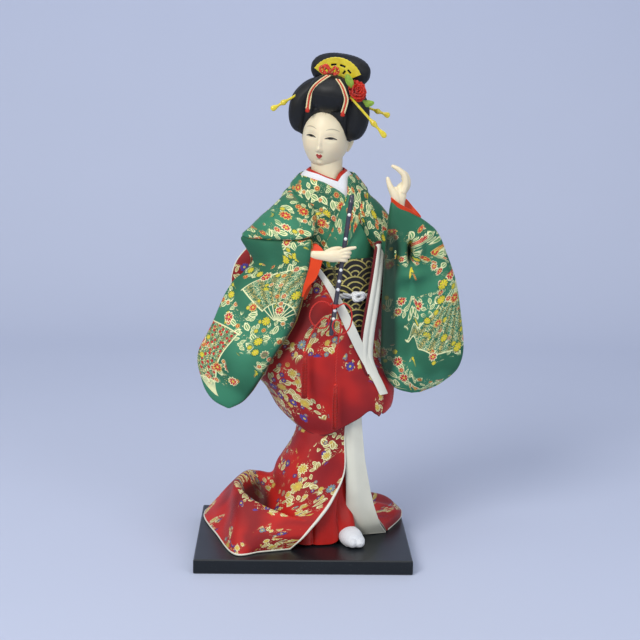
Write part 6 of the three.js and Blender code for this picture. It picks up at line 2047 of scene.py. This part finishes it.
def hand(name, node, limbs):
    """limbs are (path, radii, flatness), from the wrist outward."""
    shapes = []
    for path, radii, flat in limbs:
        path, radii = domed(smooth_rows(path, 6), smooth_list(radii, 6), [(0.8, 0.45)],
                            [(0.45, 0.86), (0.85, 0.4)])
        shapes.append(closed_tube(tube_grid(path, radii, 20, flat, ACROSS)))
    points, faces, uv = merged(*shapes)
    piece = mesh_piece(name, "figure", points, faces, finish["skin"], uv)
    fused(piece, HAND_VOXEL, rounds=4)
    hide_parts(node)


hand("right_hand_skin", "hand_right", [
    ([(1, -44.5, 262.4), (8, -46, 262), (15, -46.8, 261.6), (21, -47.8, 261.8), (27.5, -48.4, 262.2)],
     (3.4, 3.7, 4.4, 5.4, 5.2), 0.62),
    ([(26, -48.6, 264.8), (30.5, -49.6, 266.8), (35.5, -49.6, 268.4), (40.2, -48.8, 269.3)],
     (2.3, 2.0, 1.7, 1.25), 1),
    ([(26.5, -49, 263), (32, -49.8, 264.6), (35.4, -48.4, 264.8), (35.6, -45, 263.6)],
     (2.2, 2.0, 1.8, 1.4), 1),
    ([(26.5, -49, 261), (31.4, -49.8, 261.6), (34.4, -48.2, 261.4), (34.6, -44.6, 260.6)],
     (2.2, 2.0, 1.8, 1.4), 1),
    ([(26, -48.8, 259), (30, -49.4, 258.6), (32.6, -47.8, 258), (33, -44.6, 257.6)],
     (2.0, 1.8, 1.6, 1.3), 1),
    ([(16, -46.4, 264.2), (21, -44.6, 266.6), (26, -43.8, 267.6), (29, -43.6, 267.4)],
     (2.6, 2.3, 2.0, 1.5), 1),
])
hand("left_hand_skin", "hand_left", [
    ([(79, -27.4, 297), (78, -27.6, 304), (78, -27.6, 311), (79.6, -27, 317), (82, -26.4, 321.5)],
     (4.0, 4.8, 6.0, 5.2, 3.4), 0.7),
    ([(76, -28.4, 305), (74.8, -28.8, 311), (75, -29, 317)], (4.4, 4.2, 3.0), 0.8),
    ([(80.6, -28.6, 315), (82.8, -28.8, 322), (81.4, -29.8, 329.4), (76.4, -30.4, 334.4), (71.4, -30.4, 337)],
     (3.4, 3.1, 2.6, 2.1, 1.5), 1),
    ([(82, -26.6, 316), (84.8, -26.4, 322.5), (83.4, -27, 329), (79, -28, 332.8), (75.4, -28.4, 334.6)],
     (3.0, 2.9, 2.4, 2.0, 1.5), 1),
    ([(82.4, -24.6, 315.5), (85.2, -24, 320.6), (84, -24.6, 326.4), (80.6, -25.6, 329.8)],
     (2.8, 2.7, 2.2, 1.6), 1),
    ([(82, -22.8, 314), (84.4, -21.8, 318.4), (83.4, -22.2, 323.4), (80.8, -23, 326)],
     (2.5, 2.3, 1.9, 1.4), 1),
    ([(76.4, -28.6, 307), (74.2, -29.6, 312), (71.2, -30.4, 317), (69, -30.6, 321.6), (67.4, -30.4, 326.6)],
     (3.8, 3.8, 3.0, 2.3, 1.6), 1),
])


# Split-toe socks: a foot form with the big toe parted from the rest, on a flat sole

def make_tabi(name, node, heel, turn, size):
    """A sock from its heel, turned outward by degrees and scaled, with its foot's form flat on the board."""
    ahead = np.array([math.sin(math.radians(turn)), -math.cos(math.radians(turn)), 0.0])
    beside = np.array([-ahead[1], ahead[0], 0.0])
    heel = np.array(heel, float)

    def limb(points, radii, tall):
        spots = [heel + size * (ahead * along + beside * across) + (0, 0, height)
                 for along, across, height in points]
        path, thick = domed(smooth_rows(spots, 6), smooth_list(radii, 6), [(0.7, 0.5)],
                            [(0.5, 0.85), (0.9, 0.4)])
        rings = tube_grid(path, thick, 28, tall, up=(0, 0, 1))
        rings[..., 2] = np.maximum(rings[..., 2], 0.35)
        return closed_tube(rings)

    inner = -1 if turn > 0 else 1
    shapes = [
        limb([(7, 0, 7.5), (16, 0, 7.4), (27, 0.6 * inner, 6.6), (33, 0.6 * inner, 5.6)],
             (8, 8.8, 10.6, 10.2), 0.78),
        limb([(28, 4.2 * inner, 5.8), (36, 4.0 * inner, 5.4), (41, 3.4 * inner, 4.8)], (6.2, 6.0, 4.8), 0.9),
        limb([(28, -2.4 * inner, 5.8), (36, -2.8 * inner, 5.0), (40.5, -2.6 * inner, 4.4)],
             (7.6, 7.2, 5.8), 0.72),
    ]
    points, faces, uv = merged(*shapes)
    piece = mesh_piece(name, "figure", points, faces, finish["tabi"], uv)
    fused(piece, SOCK_VOXEL, rounds=5)
    flat_print(piece)
    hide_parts(node)


def flat_print(piece):
    """Cloth coordinates seen from above, for a piece whose remesh lost its own."""
    mesh = piece.data
    layer = mesh.uv_layers.get("cloth") or mesh.uv_layers.new(name="cloth")
    place = np.empty(len(mesh.vertices) * 3, np.float32)
    mesh.vertices.foreach_get("co", place)
    corner = np.empty(len(mesh.loops), np.int32)
    mesh.loops.foreach_get("vertex_index", corner)
    place = place.reshape(-1, 3)[corner] / MM / 100
    layer.data.foreach_set("uv",
                           np.stack([place[:, 0] + place[:, 2] * 0.5, place[:, 1] - place[:, 2]], 1).ravel())


make_tabi("tabi_left_sock", "tabi_left", (35.5, -4.5, 0), 17, 0.96)
make_tabi("tabi_right_sock", "tabi_right", (12, 8, 0), -10, 0.8)


# CAD nodes that keep their shape get their finish
for node, paint in (("base_board", "lacquer"), ("rod_left", "steel"), ("rod_right", "steel"),
                    ("neck_peg", "wood")):
    for slot in bpy.data.objects[node].material_slots:
        slot.material = finish[paint]
